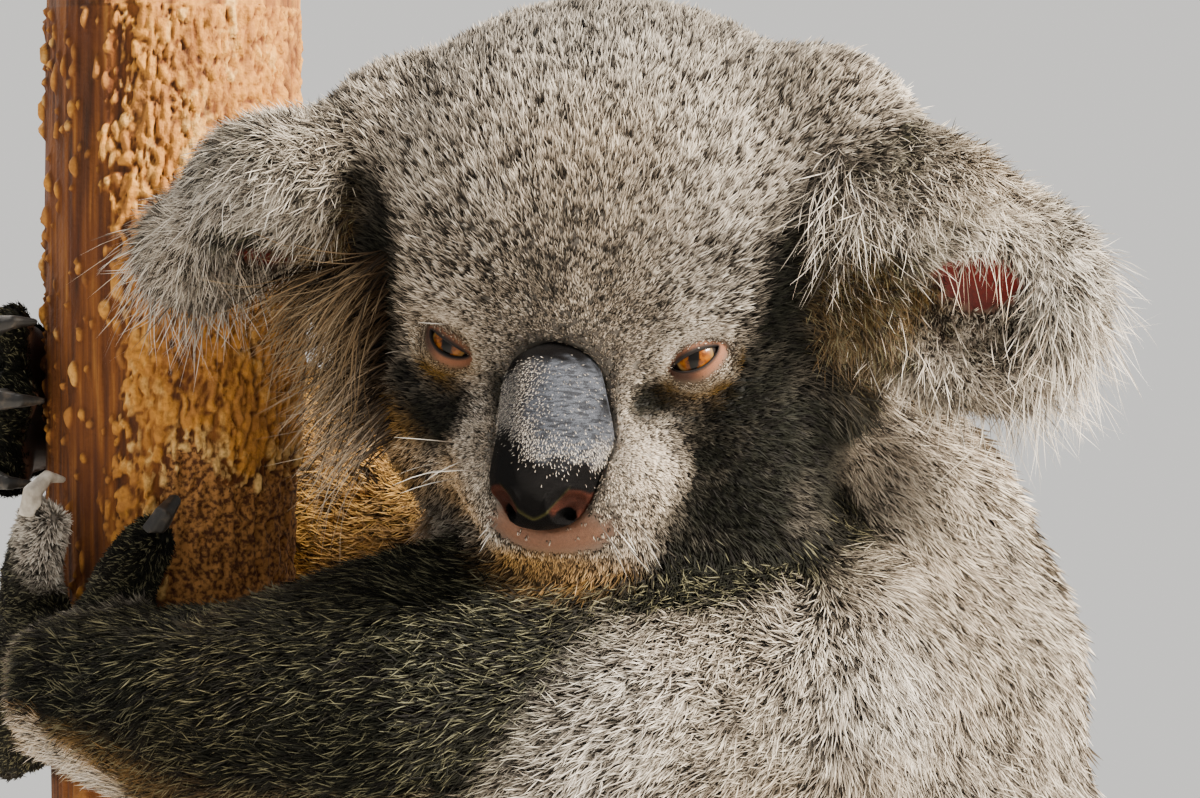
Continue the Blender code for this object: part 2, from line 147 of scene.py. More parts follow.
# %% Arrays from meshes
def points_of(mesh):
    points = np.zeros(len(mesh.vertices) * 3, np.float32)
    mesh.vertices.foreach_get("co", points)
    return points.reshape(-1, 3).astype(float)


def triangles_of(mesh):
    mesh.calc_loop_triangles()
    corners = np.zeros(len(mesh.loop_triangles) * 3, np.int32)
    mesh.loop_triangles.foreach_get("vertices", corners)
    return corners.reshape(-1, 3)


def edges_of(mesh):
    ends = np.zeros(len(mesh.edges) * 2, np.int32)
    mesh.edges.foreach_get("vertices", ends)
    return ends.reshape(-1, 2)


def normals_at(points, triangles):
    """Each point's normal, the mean of its triangles' weighed by area."""
    a, b, c = (points[triangles[:, i]] for i in range(3))
    flat = np.cross(b - a, c - a)
    total = np.zeros_like(points)
    for i in range(3):
        for axis in range(3):
            total[:, axis] += np.bincount(triangles[:, i], flat[:, axis], len(points))
    return unit(total)


def relaxed(values, edges, times, share=0.5):
    """Each vertex's value drawn towards its neighbours' mean, again and again."""
    count = len(values)
    flat = values.reshape(count, -1).astype(float)
    number = np.maximum(np.bincount(edges.ravel(), minlength=count), 1)
    for _ in range(times):
        for axis in range(flat.shape[1]):
            column = flat[:, axis]
            total = np.bincount(edges[:, 0], column[edges[:, 1]], count)
            total += np.bincount(edges[:, 1], column[edges[:, 0]], count)
            flat[:, axis] = column + share * (total / number - column)
    return flat.reshape(values.shape)


print("an eye's solid has", len(points_of(nodes["eye_left"].data)), "points")

# %% [markdown]
# ## Noise
#
# Noise on a grid of cells gives every uneven thing here. Each grid corner gets a fixed random
# value, and the space between is filled smoothly.

# %% Lumpy noise
HASH_STEPS = (73856093, 19349663, 83492791)  # large primes, so that no two corners agree
HASH_SEED, HASH_MIX, HASH_BITS = 2654435761, 1274126177, 0x7FFFFFFF


def lumpy(points, cell, seed=0):
    """Smooth noise from -1 to 1 whose lumps are about a cell wide; a cell may differ by axis."""
    scaled = points / np.asarray(cell)
    corner = np.floor(scaled).astype(np.int64)
    part = scaled - corner
    part = part * part * (3 - 2 * part)
    total = np.zeros(len(points))
    for step in np.ndindex(2, 2, 2):
        i, j, k = (corner + step).T
        code = (i * HASH_STEPS[0]) ^ (j * HASH_STEPS[1]) ^ (k * HASH_STEPS[2]) ^ (seed * HASH_SEED)
        code = (code ^ (code >> 13)) * HASH_MIX & HASH_BITS
        code = code ^ (code >> 16)
        weight = np.prod(np.where(step, part, 1 - part), axis=1)
        total += weight * ((code & 0xFFFF) / 32767.5 - 1)
    return total


def lumpy_vectors(points, cell, seeds):
    """Noise in three directions at once."""
    return np.stack([lumpy(points, cell, seed) for seed in seeds], axis=1)


print("noise at the origin:", lumpy(np.zeros((1, 3)), 0.01))

# %% [markdown]
# ## Helpers for materials
#
# Colours are hex values of sRGB, and a shader counts light, so one function makes them linear.
# Another adds a node with its settings and links.

# %% Colours and nodes
SHARE, FIRST, SECOND, MIXED = 0, 6, 7, 2  # a colour mix's inputs, and its output
VALUE, LOW, HIGH, TO_LOW, TO_HIGH = range(5)  # the inputs that stretch one range to another
RGBA, SOFT = {"data_type": "RGBA"}, {"interpolation_type": "SMOOTHSTEP"}  # their settings


def colour(code):
    """An sRGB hex colour as the linear colour that a shader takes."""
    channels = [int(code[i : i + 2], 16) / 255 for i in (0, 2, 4)]
    linear = [c / 12.92 if c <= 0.04045 else ((c + 0.055) / 1.055) ** 2.4 for c in channels]
    return (*linear, 1.0)


def add_node(tree, kind, inputs, out, stops=(), **settings):
    """Adds a node, sets it up, gives each input a value or a link, and hands back one output."""
    node = tree.nodes.new("ShaderNode" + kind)
    for name, value in settings.items():
        setattr(node, name, value)
    for place, value in inputs.items():
        if isinstance(value, bpy.types.NodeSocket):
            tree.links.new(value, node.inputs[place])
        else:
            node.inputs[place].default_value = value
    for number, (position, code) in enumerate(stops):
        ramp = node.color_ramp.elements
        element = ramp[number] if number < len(ramp) else ramp.new(position)
        element.position = position
        element.color = colour(code)
    return node.outputs if out == "all" else node.outputs[out]


def new_material(name, **values):
    """A material with its shader's own sockets set."""
    material = bpy.data.materials.new(name)
    material.use_nodes = True
    shader = material.node_tree.nodes["Principled BSDF"]
    for socket, value in values.items():
        shader.inputs[socket.replace("_", " ")].default_value = value
    return material, material.node_tree, shader


print("middle grey is", round(colour("808080")[0], 3), "in linear light")

# %% [markdown]
# A pattern's scale counts its repeats in a metre, so it comes from the real size of one.

# %% Scales from real sizes
def scale_of(*sizes_mm):
    """A pattern's scale from how far apart its repeats are: one number, or one for each axis."""
    scales = tuple(1000 / size for size in sizes_mm)
    return scales if len(scales) > 1 else scales[0]


print("grains of 2.5 mm need a scale of", scale_of(2.5))

# %% [markdown]
# ## The skin
#
# The solids of flesh are swollen a little to close the cuts between them and melted together.
# Every point then knows its region, which sets how long, how steep and how fine the coat is.
# The lengths are an adult koala's.

# %% Regions of the coat
REGIONS = {  # length mm, lift from the skin in degrees, how dark, how pale, how tan
    "head": (5.2, 30, 0.00, 0.00, 0.00),
    "neck": (9.0, 30, 0.05, 0.15, 0.00),
    "torso": (10.0, 30, 0.00, 0.00, 0.00),
    "ear": (8.0, 36, 0.20, 0.00, 0.00),
    "upper_arm": (8.5, 30, 0.08, 0.00, 0.00),
    "forearm": (7.5, 26, 1.05, 0.00, 0.00),
    # The forearm's darkness is mostly painted shade, cast by the head above it.
    "thigh": (10.0, 30, 0.05, 0.00, 0.00),
    "shank": (8.0, 26, 0.20, 0.00, 0.00),
    "hand": (3.2, 24, 1.05, 0.00, 0.00),
    "foot": (3.2, 24, 0.90, 0.00, 0.00),
}
PAIRED = ("ear", "upper_arm", "forearm", "hand", "thigh", "shank", "foot")
FLESH = ["head", "neck", "torso"] + [f"{part}_{side}" for part in PAIRED for side in SIDES]


def region_of(node):
    return node.removesuffix("_left").removesuffix("_right")


print("regions:", len(REGIONS), "solids of flesh:", len(FLESH))

# %% [markdown]
# A voxel remesh lays a fine lattice over overlapping bodies and keeps only its outside.

# %% Melting bodies together
def welded(name, swell):
    """A node's shape as a bmesh with no split corners, swollen along its normals."""
    forms = bmesh.new()
    forms.from_mesh(nodes[name].data)
    bmesh.ops.remove_doubles(forms, verts=forms.verts, dist=0.00001)
    forms.normal_update()
    for vertex in forms.verts:
        vertex.co += vertex.normal * swell
    return forms


def remeshed(name, forms, voxel, smoothing):
    """One smooth closed mesh from a bmesh of overlapping bodies; the bmesh is freed."""
    mesh = bpy.data.meshes.new(name)
    forms.to_mesh(mesh)
    forms.free()
    holder = bpy.data.objects.new(name, mesh)
    bpy.context.scene.collection.objects.link(holder)
    remesh = holder.modifiers.new("Fuse", "REMESH")
    remesh.mode = "VOXEL"
    remesh.voxel_size = voxel
    smooth = holder.modifiers.new("Smooth", "SMOOTH")
    smooth.factor = 0.5
    smooth.iterations = smoothing
    graph = bpy.context.evaluated_depsgraph_get()
    made = bpy.data.meshes.new_from_object(holder.evaluated_get(graph))
    bpy.data.objects.remove(holder)
    return made

# %% Fuse the flesh
SKIN_VOXEL = 0.0029
SWELL = 0.0007
body_forms = bmesh.new()
for name in FLESH:
    part = welded(name, SWELL)
    spare = bpy.data.meshes.new("part")
    part.to_mesh(spare)
    part.free()
    body_forms.from_mesh(spare)
    bpy.data.meshes.remove(spare)
fused = remeshed("fused", body_forms, SKIN_VOXEL, 2)
skin_points = points_of(fused)
skin_edges = edges_of(fused)
skin_triangles = triangles_of(fused)
print("skin:", len(skin_points), "points,", len(skin_triangles), "triangles")

# %% [markdown]
# Each point of the skin takes the region of the nearest sample, and the values are blurred so
# that none jumps at a border.

# %% Which region is each point in
samples = []
for number, name in enumerate(FLESH):
    corners = points_of(nodes[name].data)
    triangles = triangles_of(nodes[name].data)
    middles = corners[triangles].mean(axis=1)
    halves = [(corners[triangles[:, i]] + middles) / 2 for i in range(3)]
    for point in np.concatenate([corners, middles, *halves]):
        samples.append((point, number))
finder = KDTree(len(samples))
for order, (point, number) in enumerate(samples):
    finder.insert(point, order)
finder.balance()
owner = np.array([samples[finder.find(point)[1]][1] for point in skin_points])
is_owner = {name: owner == number for number, name in enumerate(FLESH)}
of_region = np.array([list(REGIONS).index(region_of(name)) for name in FLESH])[owner]
print("samples:", len(samples))

# %% Blur the regions' values
def share_of(*regions):
    """1 where the skin belongs to some regions, with a soft border."""
    belongs = np.isin(of_region, [list(REGIONS).index(region) for region in regions])
    return relaxed(belongs.astype(float), skin_edges, 6)


traits = relaxed(np.array(list(REGIONS.values()))[of_region], skin_edges, 12)
length_mm, lift_deg, dark, pale, tan = traits.T
on_head = share_of("head")
on_ears = share_of("ear")
on_paws = share_of("hand", "foot")
print("points on the head:", int((on_head > 0.5).sum()))

# %% [markdown]
# ## Masks for the face and ears
#
# Markings are soft-edged spots in the head's frame, with a centre and a reach in millimetres.
# The same values paint the skin and the coat, so the two always agree.

# %% Spots in the head's frame
def spot(points, centre, reach):
    """1 at a centre, falling to 0 at an ellipsoid's edge; both in millimetres."""
    away = np.linalg.norm((points - np.array(centre) / 1000) / (np.array(reach) / 1000), axis=1)
    return 1 - smoothstep(0.45, 1.0, away)


def pair(points, centre, reach):
    """The same spot on both sides."""
    x, y, z = centre
    return np.maximum(spot(points, centre, reach), spot(points, (-x, y, z), reach))


print("half way to a spot's edge:", spot(np.array(((0.005, 0, 0),)), (0, 0, 0), (10, 10, 10)).round(2))

# %% [markdown]
# Each ear droops and turns in its own way, so it has its own frame, with the solids' own values.

# %% The ears' frames
EAR_PLACE = {  # centre in the head's frame, then degrees swept back, drooping, leaning forwards
    "left": ((0.100, 0.050, 0.012), 25, 36, 8),
    "right": ((0.099, 0.050, 0.014), 25, 33, 42),
}
EAR_CUP = {"left": (2, -21, -4), "right": (2, -16, -10)}  # mm, out, back and up
EAR_CUP_REACH = (30, 42, 27)
EARS = {}
for side, (centre, sweep, droop, lean) in EAR_PLACE.items():
    sign = SIGN[side]
    EARS[side] = (
        HEAD
        @ Matrix.Translation((sign * centre[0], centre[1], centre[2]))
        @ Matrix.Rotation(sign * math.radians(sweep), 4, "Z")
        @ Matrix.Rotation(sign * math.radians(droop), 4, "Y")
        @ Matrix.Rotation(math.radians(lean), 4, "X")
    )


def spot_in_ear(points, side, centre, reach):
    """A spot in one ear's frame, its centre given for the left ear."""
    x, y, z = centre
    return spot(in_frame(points, EARS[side]), (SIGN[side] * x, y, z), reach)


print("the left ear's middle in mm:", [round(1000 * x) for x in EARS["left"].translation])

# %% [markdown]
# The muzzle and brows are pale, the chin and the fur below the eyes are tan, and the inner
# corners of the eyes, the cheeks, the jaw and the fur before the ears are almost black. Much of
# that black is painted shade: the ears' shadows on the cheeks and before the ears, the face's
# shadow on the jaw and under the chin, the brows' shade over the nose, and shade in the
# hollows by the eyes. The muzzle is paler on its left than on its right, as painted light and shade.

# %% Markings of the face and ears, with painted light and shade
FACE_MARKS_WITH_PAINTED_LIGHT_AND_SHADE = (  # marking, strength, centre and reach in mm, how it is laid
    ("pale", 0.75, (20, -14, -24), (14, 24, 17), "once"),  # muzzle, left; paler than the right as painted light
    ("pale", 0.35, (-18, -14, -26), (12, 24, 17), "once"),  # muzzle, right; less pale than the left as painted shade
    ("pale", 0.55, (36, -4, 13), (15, 20, 9), "both sides"),  # brows
    ("pale", 0.50, (0, 0, 56), (90, 90, 40), "once"),  # forehead
    ("pale", 0.10, (0, -16, -54), (26, 24, 8), "once"),  # below the lip
    ("tan", 1.20, (-2, -14, -56), (30, 30, 13), "once"),  # chin
    ("tan", 0.50, (-54, 10, -34), (22, 32, 22), "once"),  # cheek, right
    ("tan", 0.55, (-28, -8, -38), (14, 24, 18), "once"),  # corner of the mouth, right; partly painted shade
    ("tan", 0.14, (34, -4, -5), (13, 16, 9), "both sides"),  # under the eyes
    ("tan", 0.10, (-36, -2, 2), (16, 20, 14), "once"),  # round the right eye
    ("dark", 0.45, (-2, -14, -62), (32, 30, 14), "once"),  # painted shade under the chin
    ("dark", 0.22, (-36, -2, -2), (17, 20, 12), "once"),  # round the right eye
    ("dark", 1.20, (39, 3, -18), (16, 18, 16), "both sides, mottled"),  # below the eyes; partly painted shade in their hollows
    ("dark", 1.20, (25, -8, -8), (9, 14, 8), "once"),  # inner corner, left; partly painted shade
    ("dark", 0.90, (-18, -8, -8), (7, 14, 8), "once"),  # inner corner, right; partly painted shade
    ("dark", 1.70, (68, 26, 8), (30, 40, 52), "once"),  # before the left ear; mostly painted shadow of the ear
    ("dark", 1.50, (-62, 22, 20), (20, 38, 30), "once"),  # before the right ear; partly painted shadow of the ear
    ("dark", 1.30, (58, 16, -16), (26, 34, 34), "mottled"),  # cheek, left; mostly painted shadow of the left ear
    ("dark", 0.90, (-58, 16, -14), (20, 30, 26), "mottled"),  # cheek, right; partly painted shade
    ("dark", 1.30, (48, 14, -44), (38, 40, 24), "mottled"),  # jaw, left; partly painted shadow of the face
    ("dark", 0.50, (-46, 12, -46), (24, 30, 14), "mottled"),  # jaw, right; partly painted shadow of the face
    ("dark", 0.25, (-5, -10, 34), (7, 30, 26), "once"),  # painted shade of the brows over the nose
    ("dark", 0.34, (0, 46, 92), (90, 60, 46), "once"),  # crown
)
EAR_PAINTED_SHADE_BY_HEAD = {"left": (1.10, 0.18), "right": (0.75, 0.55)}  # painted shade where each ear meets the head: how dark and how tan


def markings_with_painted_light_and_shade(points, head_share, ear_share, dark, pale, tan):
    """Adds the face's and ears' marks, with painted light and shade, to a region's own; gives pale,
    dark and tan.
    """
    face = in_frame(points, HEAD)
    mottled = 1 + 0.45 * lumpy(face, 0.005, 17)
    amount = {"pale": pale, "dark": dark, "tan": tan}
    for name, strength, centre, reach, laid in FACE_MARKS_WITH_PAINTED_LIGHT_AND_SHADE:
        patch = (pair if "both" in laid else spot)(face, centre, reach)
        patch = patch * mottled if "mottled" in laid else patch
        amount[name] = amount[name] + head_share * strength * patch
    pale, dark, tan = amount["pale"], amount["dark"], amount["tan"]
    for side in SIDES:
        ear = in_frame(points, EARS[side])
        own = ear_share * (SIGN[side] * face[:, 0] > 0)
        tan = tan + 0.20 * own * spot_in_ear(points, side, EAR_CUP[side], (24, 30, 18))
        pale = pale + 0.25 * own * smoothstep(-0.006, -0.026, ear[:, 2])
        # Where the ear meets the head it is darkened, as painted shade of the crevice.
        by_head = own * smoothstep(0.009, -0.017, SIGN[side] * ear[:, 0])
        by_head = by_head * smoothstep(0.010, -0.008, ear[:, 2])
        dark = dark + EAR_PAINTED_SHADE_BY_HEAD[side][0] * by_head
        tan = tan + EAR_PAINTED_SHADE_BY_HEAD[side][1] * by_head
    dark = dark + 0.85 * ear_share * spot(face, (-99, 30, 16), (18, 48, 12))
    dark = dark + 0.55 * ear_share * smoothstep(0.0, 0.7, lumpy(face, (0.006, 0.012, 0.006), 20))
    blotches = smoothstep(0.0, 0.8, lumpy(face, (0.006, 0.02, 0.006), 19))
    dark = np.clip(dark, 0, 1) * (1 - 0.13 * head_share * blotches)
    pale = pale * (1 - 0.9 * smoothstep(0.45, 1.0, dark))
    return np.clip(np.stack([pale, dark, tan], axis=1), 0, 1)


print("marks of the face:", len(FACE_MARKS_WITH_PAINTED_LIGHT_AND_SHADE))

# %% [markdown]
# The body has its own: cream down the chest, belly and insides of the limbs, a mottled pale
# patch on the rump, and dark paws. Painted light and shade come on top: shade on the front of
# the forearm and the head's shadow under the chin and jaw, and light on the forearm's top and
# beside the neck.

# %% Masks of the body
TRUNK_X = sum(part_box("perch"), Vector()).x / 2
x, y, z = skin_points.T
normals = normals_at(skin_points, skin_triangles)
on_body = 1 - np.maximum(np.maximum(on_head, on_ears), on_paws)
on_left_forearm = is_owner["forearm_left"]
facing_trunk = smoothstep(0.2, 0.9, -normals[:, 0]) * smoothstep(0.03, -0.02, x)
facing_trunk = facing_trunk * smoothstep(0.5, 0.1, normals[:, 1] * np.sign(y))
under = smoothstep(0.35, 0.9, -normals[:, 2])
inner_side = smoothstep(0.2, 0.8, -normals[:, 1] * np.sign(y)) * smoothstep(0.0, -0.03, x)
# The front of the arm, under the head, gets painted shade, which eases off towards the wrist.
front_arm_painted_shade = on_body * smoothstep(0.045, 0.0, x - 0.8 * (z - 0.487)) * smoothstep(-0.02, -0.05, y)
front_arm_painted_shade = front_arm_painted_shade * (1 - 0.12 * np.maximum(lumpy(skin_points, 0.006, 6), 0))
wrist = on_left_forearm * smoothstep(-0.085, -0.150, x - 0.6 * (z - 0.45))
# The upward-facing top of the forearm is lightened: painted light.
upper_edge_painted_light = on_left_forearm * smoothstep(0.35, 0.8, normals[:, 2]) * smoothstep(-0.05, -0.09, x)
cuff = on_left_forearm * smoothstep(-0.105, -0.15, x) * smoothstep(0.1, -0.7, normals[:, 2])
first_digit = spot(skin_points, (-156, -40, 497), (15, 18, 24))
jaw = spot(in_frame(skin_points, HEAD), (56, 22, -44), (46, 60, 34))
far_inner = on_body * smoothstep(-0.03, -0.06, x) * smoothstep(-0.045, -0.01, y)
far_inner = far_inner * smoothstep(0.10, 0.05, y) * smoothstep(0.40, 0.44, z)
far_inner = far_inner * smoothstep(0.3, -0.1, normals[:, 1])
# Beside the neck the fur is lightened: painted light that lifts the shadows of the head and ear.
neck_painted_light = on_body * spot(skin_points, (84, -58, 514), (26, 44, 26))
behind_ear = on_body * spot(skin_points, (85, -27, 536), (17, 20, 15))
rump = smoothstep(0.24, 0.17, z) * smoothstep(0.06, 0.13, x)
shoulder = on_body * smoothstep(0.36, 0.42, z) * smoothstep(0.0, 0.05, x)
print("share of the skin that faces the trunk:", facing_trunk.mean().round(3))

# %% [markdown]
# Each mask adds to the three markings or takes from them.

# %% Markings of the body, with painted light and shade
pale = pale + on_body * (0.75 * facing_trunk + 0.8 * under + 0.35 * inner_side)
tan = tan + on_body * (0.25 * facing_trunk + 0.65 * inner_side + 0.35 * under)
dark = dark + 1.1 * front_arm_painted_shade * smoothstep(0.34, 0.38, z) - 0.48 * wrist
# Under the jaw the tan gives way to dark, as painted shadow of the face.
tan = tan * (1 - 0.95 * jaw)
dark = dark + 0.6 * jaw * smoothstep(0.086, 0.066, x) * (y < -0.03)
dark = dark - 0.42 * upper_edge_painted_light - 0.55 * cuff - 0.75 * first_digit
pale = pale + 0.12 * upper_edge_painted_light + 0.30 * cuff + 0.55 * first_digit
tan = tan + 0.50 * cuff
dark = dark + 1.1 * on_body * spot(skin_points, (24, -80, 488), (46, 90, 20))  # painted shadow of the head, under the chin
dark = dark + 1.0 * on_body * spot(skin_points, (62, -72, 503), (26, 60, 12))  # painted shadow of the head, under the jaw
dark = dark * (1 - far_inner)
tan = tan + 0.95 * far_inner
pale = pale * (1 - 0.75 * far_inner)
dark = dark * (1 - 0.7 * neck_painted_light) + 0.9 * behind_ear
pale = pale + 0.60 * neck_painted_light + rump * (0.35 + 0.5 * lumpy(skin_points, 0.012, 5))
tan = tan + 0.15 * behind_ear
dark = dark * (1 - 0.6 * np.clip(pale, 0, 1)) + 0.18 * lumpy(skin_points, 0.03, 3) + 0.18 * shoulder
pale = pale + 0.14 * lumpy(skin_points, 0.022, 4)
marking_with_painted_light_and_shade = markings_with_painted_light_and_shade(skin_points, on_head, on_ears, dark, pale, tan)
print("mean pale, dark and tan:", marking_with_painted_light_and_shade.mean(axis=0).round(2))

# %% [markdown]
# ## Sinking the skin under the coat
#
# Hair that leaves the skin at an angle stands about half its length above it, so the skin lies
# inside the solids by that much. The face then gets its own folds.

# %% How long the hair is on the face and in the ears
FACE_CENTRE = np.array((0, -0.018, -0.020))
face = in_frame(skin_points, HEAD)
from_nose = np.linalg.norm((face - FACE_CENTRE) * (1, 0.6, 0.8), axis=1)
face_length = 1.5 + 3.7 * smoothstep(0.020, 0.066, from_nose)
jowls = smoothstep(-0.030, -0.060, face[:, 2]) * smoothstep(0.010, 0.050, from_nose)
face_length = face_length + 3.0 * jowls * smoothstep(-0.03, 0.01, face[:, 1])
length_mm = length_mm * (1 - on_head) + face_length * on_head
in_cup = np.zeros(len(skin_points))
for side in SIDES:
    in_cup = np.maximum(in_cup, on_ears * spot_in_ear(skin_points, side, EAR_CUP[side], EAR_CUP_REACH))
length_mm = length_mm * (1 - 0.55 * in_cup)
ear_root = on_head * pair(face, (76, 34, -6), (20, 44, 30))
print("hair length in mm:", length_mm.min().round(1), "to", length_mm.max().round(1))

# %% Sink the skin
COAT_DEPTH = 0.50  # of the hair's length
depth = relaxed(np.maximum(length_mm, 1.0) / 1000 * COAT_DEPTH, skin_edges, 10)
skin_points = relaxed(skin_points, skin_edges, 14, 0.5 * (1 - 0.9 * on_paws))
normals = normals_at(skin_points, skin_triangles)
skin_points = skin_points - normals * depth[:, None]
print("coat depth in mm:", (1000 * depth.min()).round(1), "to", (1000 * depth.max()).round(1))

# %% Fold the face
MOUTH_HEIGHT, MOUTH_BOW, MOUTH_WIDTH = -0.0545, 4.0, 0.0016
face = in_frame(skin_points, HEAD)
fold = -2.2 * pair(face, (22, -6, -10), (9, 16, 9))  # before the eyes
fold = fold + 1.3 * pair(face, (35, 0, 14), (16, 20, 9))  # brows
fold = fold + 1.0 * pair(face, (25, -12, -30), (13, 20, 12))  # muzzle
mouth = face[:, 2] - MOUTH_HEIGHT - MOUTH_BOW * face[:, 0] ** 2
fold = fold - 1.4 * bell(mouth, 0, MOUTH_WIDTH) * spot(face, (0, -20, -55), (22, 22, 14))
skin_points = skin_points + normals * (fold * on_head / 1000)[:, None]
skin_points = relaxed(skin_points, skin_edges, 2)
normals = normals_at(skin_points, skin_triangles)
print("folds in mm:", fold.min().round(1), "to", fold.max().round(1))

# %% [markdown]
# ## The materials of skin and coat
#
# Koala fur is agouti: each hair is dark at its root and pale at its tip, and no two hairs match.
# Both colours are shifted by the markings. Hair is dry, so it is rough with a soft sheen.

# %% The coat's colours
COAT_COLOURS = {  # marking: (root, tip)
    "grey": ("1A1715", "BFB6AA"),
    "pale": ("6E645A", "F3ECE1"),
    # The dark's olive tint is partly painted light: the green light that fills the shade.
    "dark": ("030403", "191B13"),
    "tan": ("442E10", "B78A38"),
}
HAIR_ROUGHNESS = 0.70
HAIR_IOR = 1.55  # keratin


def coat_colour(tree, along):
    """The root-to-tip colour under the markings stored on the mesh."""
    marks = add_node(tree, "Attribute", {}, "Vector", attribute_name="marking_with_painted_light_and_shade")
    amount = add_node(tree, "SeparateXYZ", {0: marks}, "all")
    ends = []
    for end in range(2):
        shade = colour(COAT_COLOURS["grey"][end])
        for name, socket in (("dark", "Y"), ("tan", "Z"), ("pale", "X")):
            layer = {SHARE: amount[socket], FIRST: shade, SECOND: colour(COAT_COLOURS[name][end])}
            shade = add_node(tree, "Mix", layer, MIXED, **RGBA)
        ends.append(shade)
    return add_node(tree, "Mix", {SHARE: along, FIRST: ends[0], SECOND: ends[1]}, MIXED, **RGBA)


print("coat colours:", ", ".join(COAT_COLOURS))

# %% [markdown]
# Luck is a number that each hair carries. At the low end a hair is almost black, at the high
# end its tip is bleached, or olive on dark fur. Warmth drifts slowly over the body. The olive
# of the dark fur is partly painted light: the green light that fills the shade.

# %% Coat material
coat_material, tree, shader = new_material(
    "koala_guard_hair", Roughness=HAIR_ROUGHNESS, IOR=HAIR_IOR, Specular_IOR_Level=0.10
)
strand = add_node(tree, "Attribute", {}, "Vector", attribute_name="strand")
hair_parts = add_node(tree, "SeparateXYZ", {0: strand}, "all")
length_share, luck, warmth = hair_parts["X"], hair_parts["Y"], hair_parts["Z"]
marks = add_node(tree, "Attribute", {}, "Vector", attribute_name="marking_with_painted_light_and_shade")
amount = add_node(tree, "SeparateXYZ", {0: marks}, "all")
darkness, tanness = amount["Y"], amount["Z"]
tipward = add_node(tree, "MapRange", {VALUE: length_share, LOW: 0.25, HIGH: 1.0}, 0, **SOFT)
limits = {VALUE: luck, LOW: 0.50, HIGH: 0.20, TO_LOW: 0.0, TO_HIGH: 0.94}
unlucky = add_node(tree, "MapRange", limits, 0, **SOFT)
dark_luck = add_node(
    tree, "Math", {0: darkness, 1: -0.38, 2: luck}, 0, operation="MULTIPLY_ADD"
)
limits = {VALUE: dark_luck, LOW: 0.56, HIGH: 0.84, TO_LOW: 0.0, TO_HIGH: 0.92}
lucky = add_node(tree, "MapRange", limits, 0, **SOFT)
light_tip = add_node(tree, "Math", {0: lucky, 1: tipward}, 0, operation="MULTIPLY")
bleached = colour("F8F4EC")
# Bleached tips on dark fur are olive, partly as painted green light in the shade.
for share, code in ((tanness, "D9AE5E"), (darkness, "75745C")):
    layer = {SHARE: share, FIRST: bleached, SECOND: colour(code)}
    bleached = add_node(tree, "Mix", layer, MIXED, **RGBA)
hair = coat_colour(tree, tipward)
for share, shade in ((unlucky, colour("0B0908")), (light_tip, bleached)):
    hair = add_node(tree, "Mix", {SHARE: share, FIRST: hair, SECOND: shade}, MIXED, **RGBA)
layer = {SHARE: warmth, FIRST: colour("FFFFFF"), SECOND: colour("EBDCC8")}
warm = add_node(tree, "Mix", layer, MIXED, **RGBA)
layer = {SHARE: 1.0, FIRST: hair, SECOND: warm}
hair = add_node(tree, "Mix", layer, MIXED, **RGBA, blend_type="MULTIPLY")
tree.links.new(hair, shader.inputs["Base Color"])
print("nodes in the coat's material:", len(tree.nodes))

# %% [markdown]
# The skin shows only between hairs and where the animal is bare: lips, eyelids, ears' insides
# and pads. A second stored vector says how bare it is, how red and how dark; the dark is the
# pads' and lid rims' own, and painted shade in the ears' hollows, low on their red patches, on
# the lip and in the lids' lower corners.

# %% Skin material
SKIN_BOX_MM = 380  # the mean side of the box over which these two patterns are laid
BLOTCH_MM, PEBBLE_MM = 0.905, 0.422
skin_material, tree, shader = new_material(
    "koala_skin", Roughness=0.60, IOR=1.42, Specular_IOR_Level=0.25, Subsurface_Weight=0.05,
    Subsurface_Scale=0.002,
)
bare_marks = add_node(tree, "Attribute", {}, "Vector", attribute_name="bare")
parts = add_node(tree, "SeparateXYZ", {0: bare_marks}, "all")
blotches = add_node(tree, "TexNoise", {"Scale": SKIN_BOX_MM / BLOTCH_MM, "Detail": 4.0}, 0)
layer = {SHARE: blotches, FIRST: colour("5E3A28"), SECOND: colour("8E6248")}
bare_skin = add_node(tree, "Mix", layer, MIXED, **RGBA)
layer = {SHARE: blotches, FIRST: colour("6A0B03"), SECOND: colour("300A04")}
red_skin = add_node(tree, "Mix", layer, MIXED, **RGBA)
# The third value darkens the skin: the pads' and lid rims' own dark, and painted shade.
for share, shade in ((parts["Y"], red_skin), (parts["Z"], colour("1C1817"))):
    layer = {SHARE: share, FIRST: bare_skin, SECOND: shade}
    bare_skin = add_node(tree, "Mix", layer, MIXED, **RGBA)
under_coat = coat_colour(tree, 0.18)
layer = {SHARE: parts["X"], FIRST: under_coat, SECOND: bare_skin}
all_skin = add_node(tree, "Mix", layer, MIXED, **RGBA)
tree.links.new(all_skin, shader.inputs["Base Color"])
pebbles = add_node(tree, "TexVoronoi", {"Scale": SKIN_BOX_MM / PEBBLE_MM}, 0, feature="F1")
relief = {"Height": pebbles, "Strength": 0.35, "Distance": 0.0004}
tree.links.new(add_node(tree, "Bump", relief, 0), shader.inputs["Normal"])
print("nodes in the skin's material:", len(tree.nodes))

# %% [markdown]
# ## The skin as a piece
#
# The skin stands for all the solids of flesh, so they aren't shown.

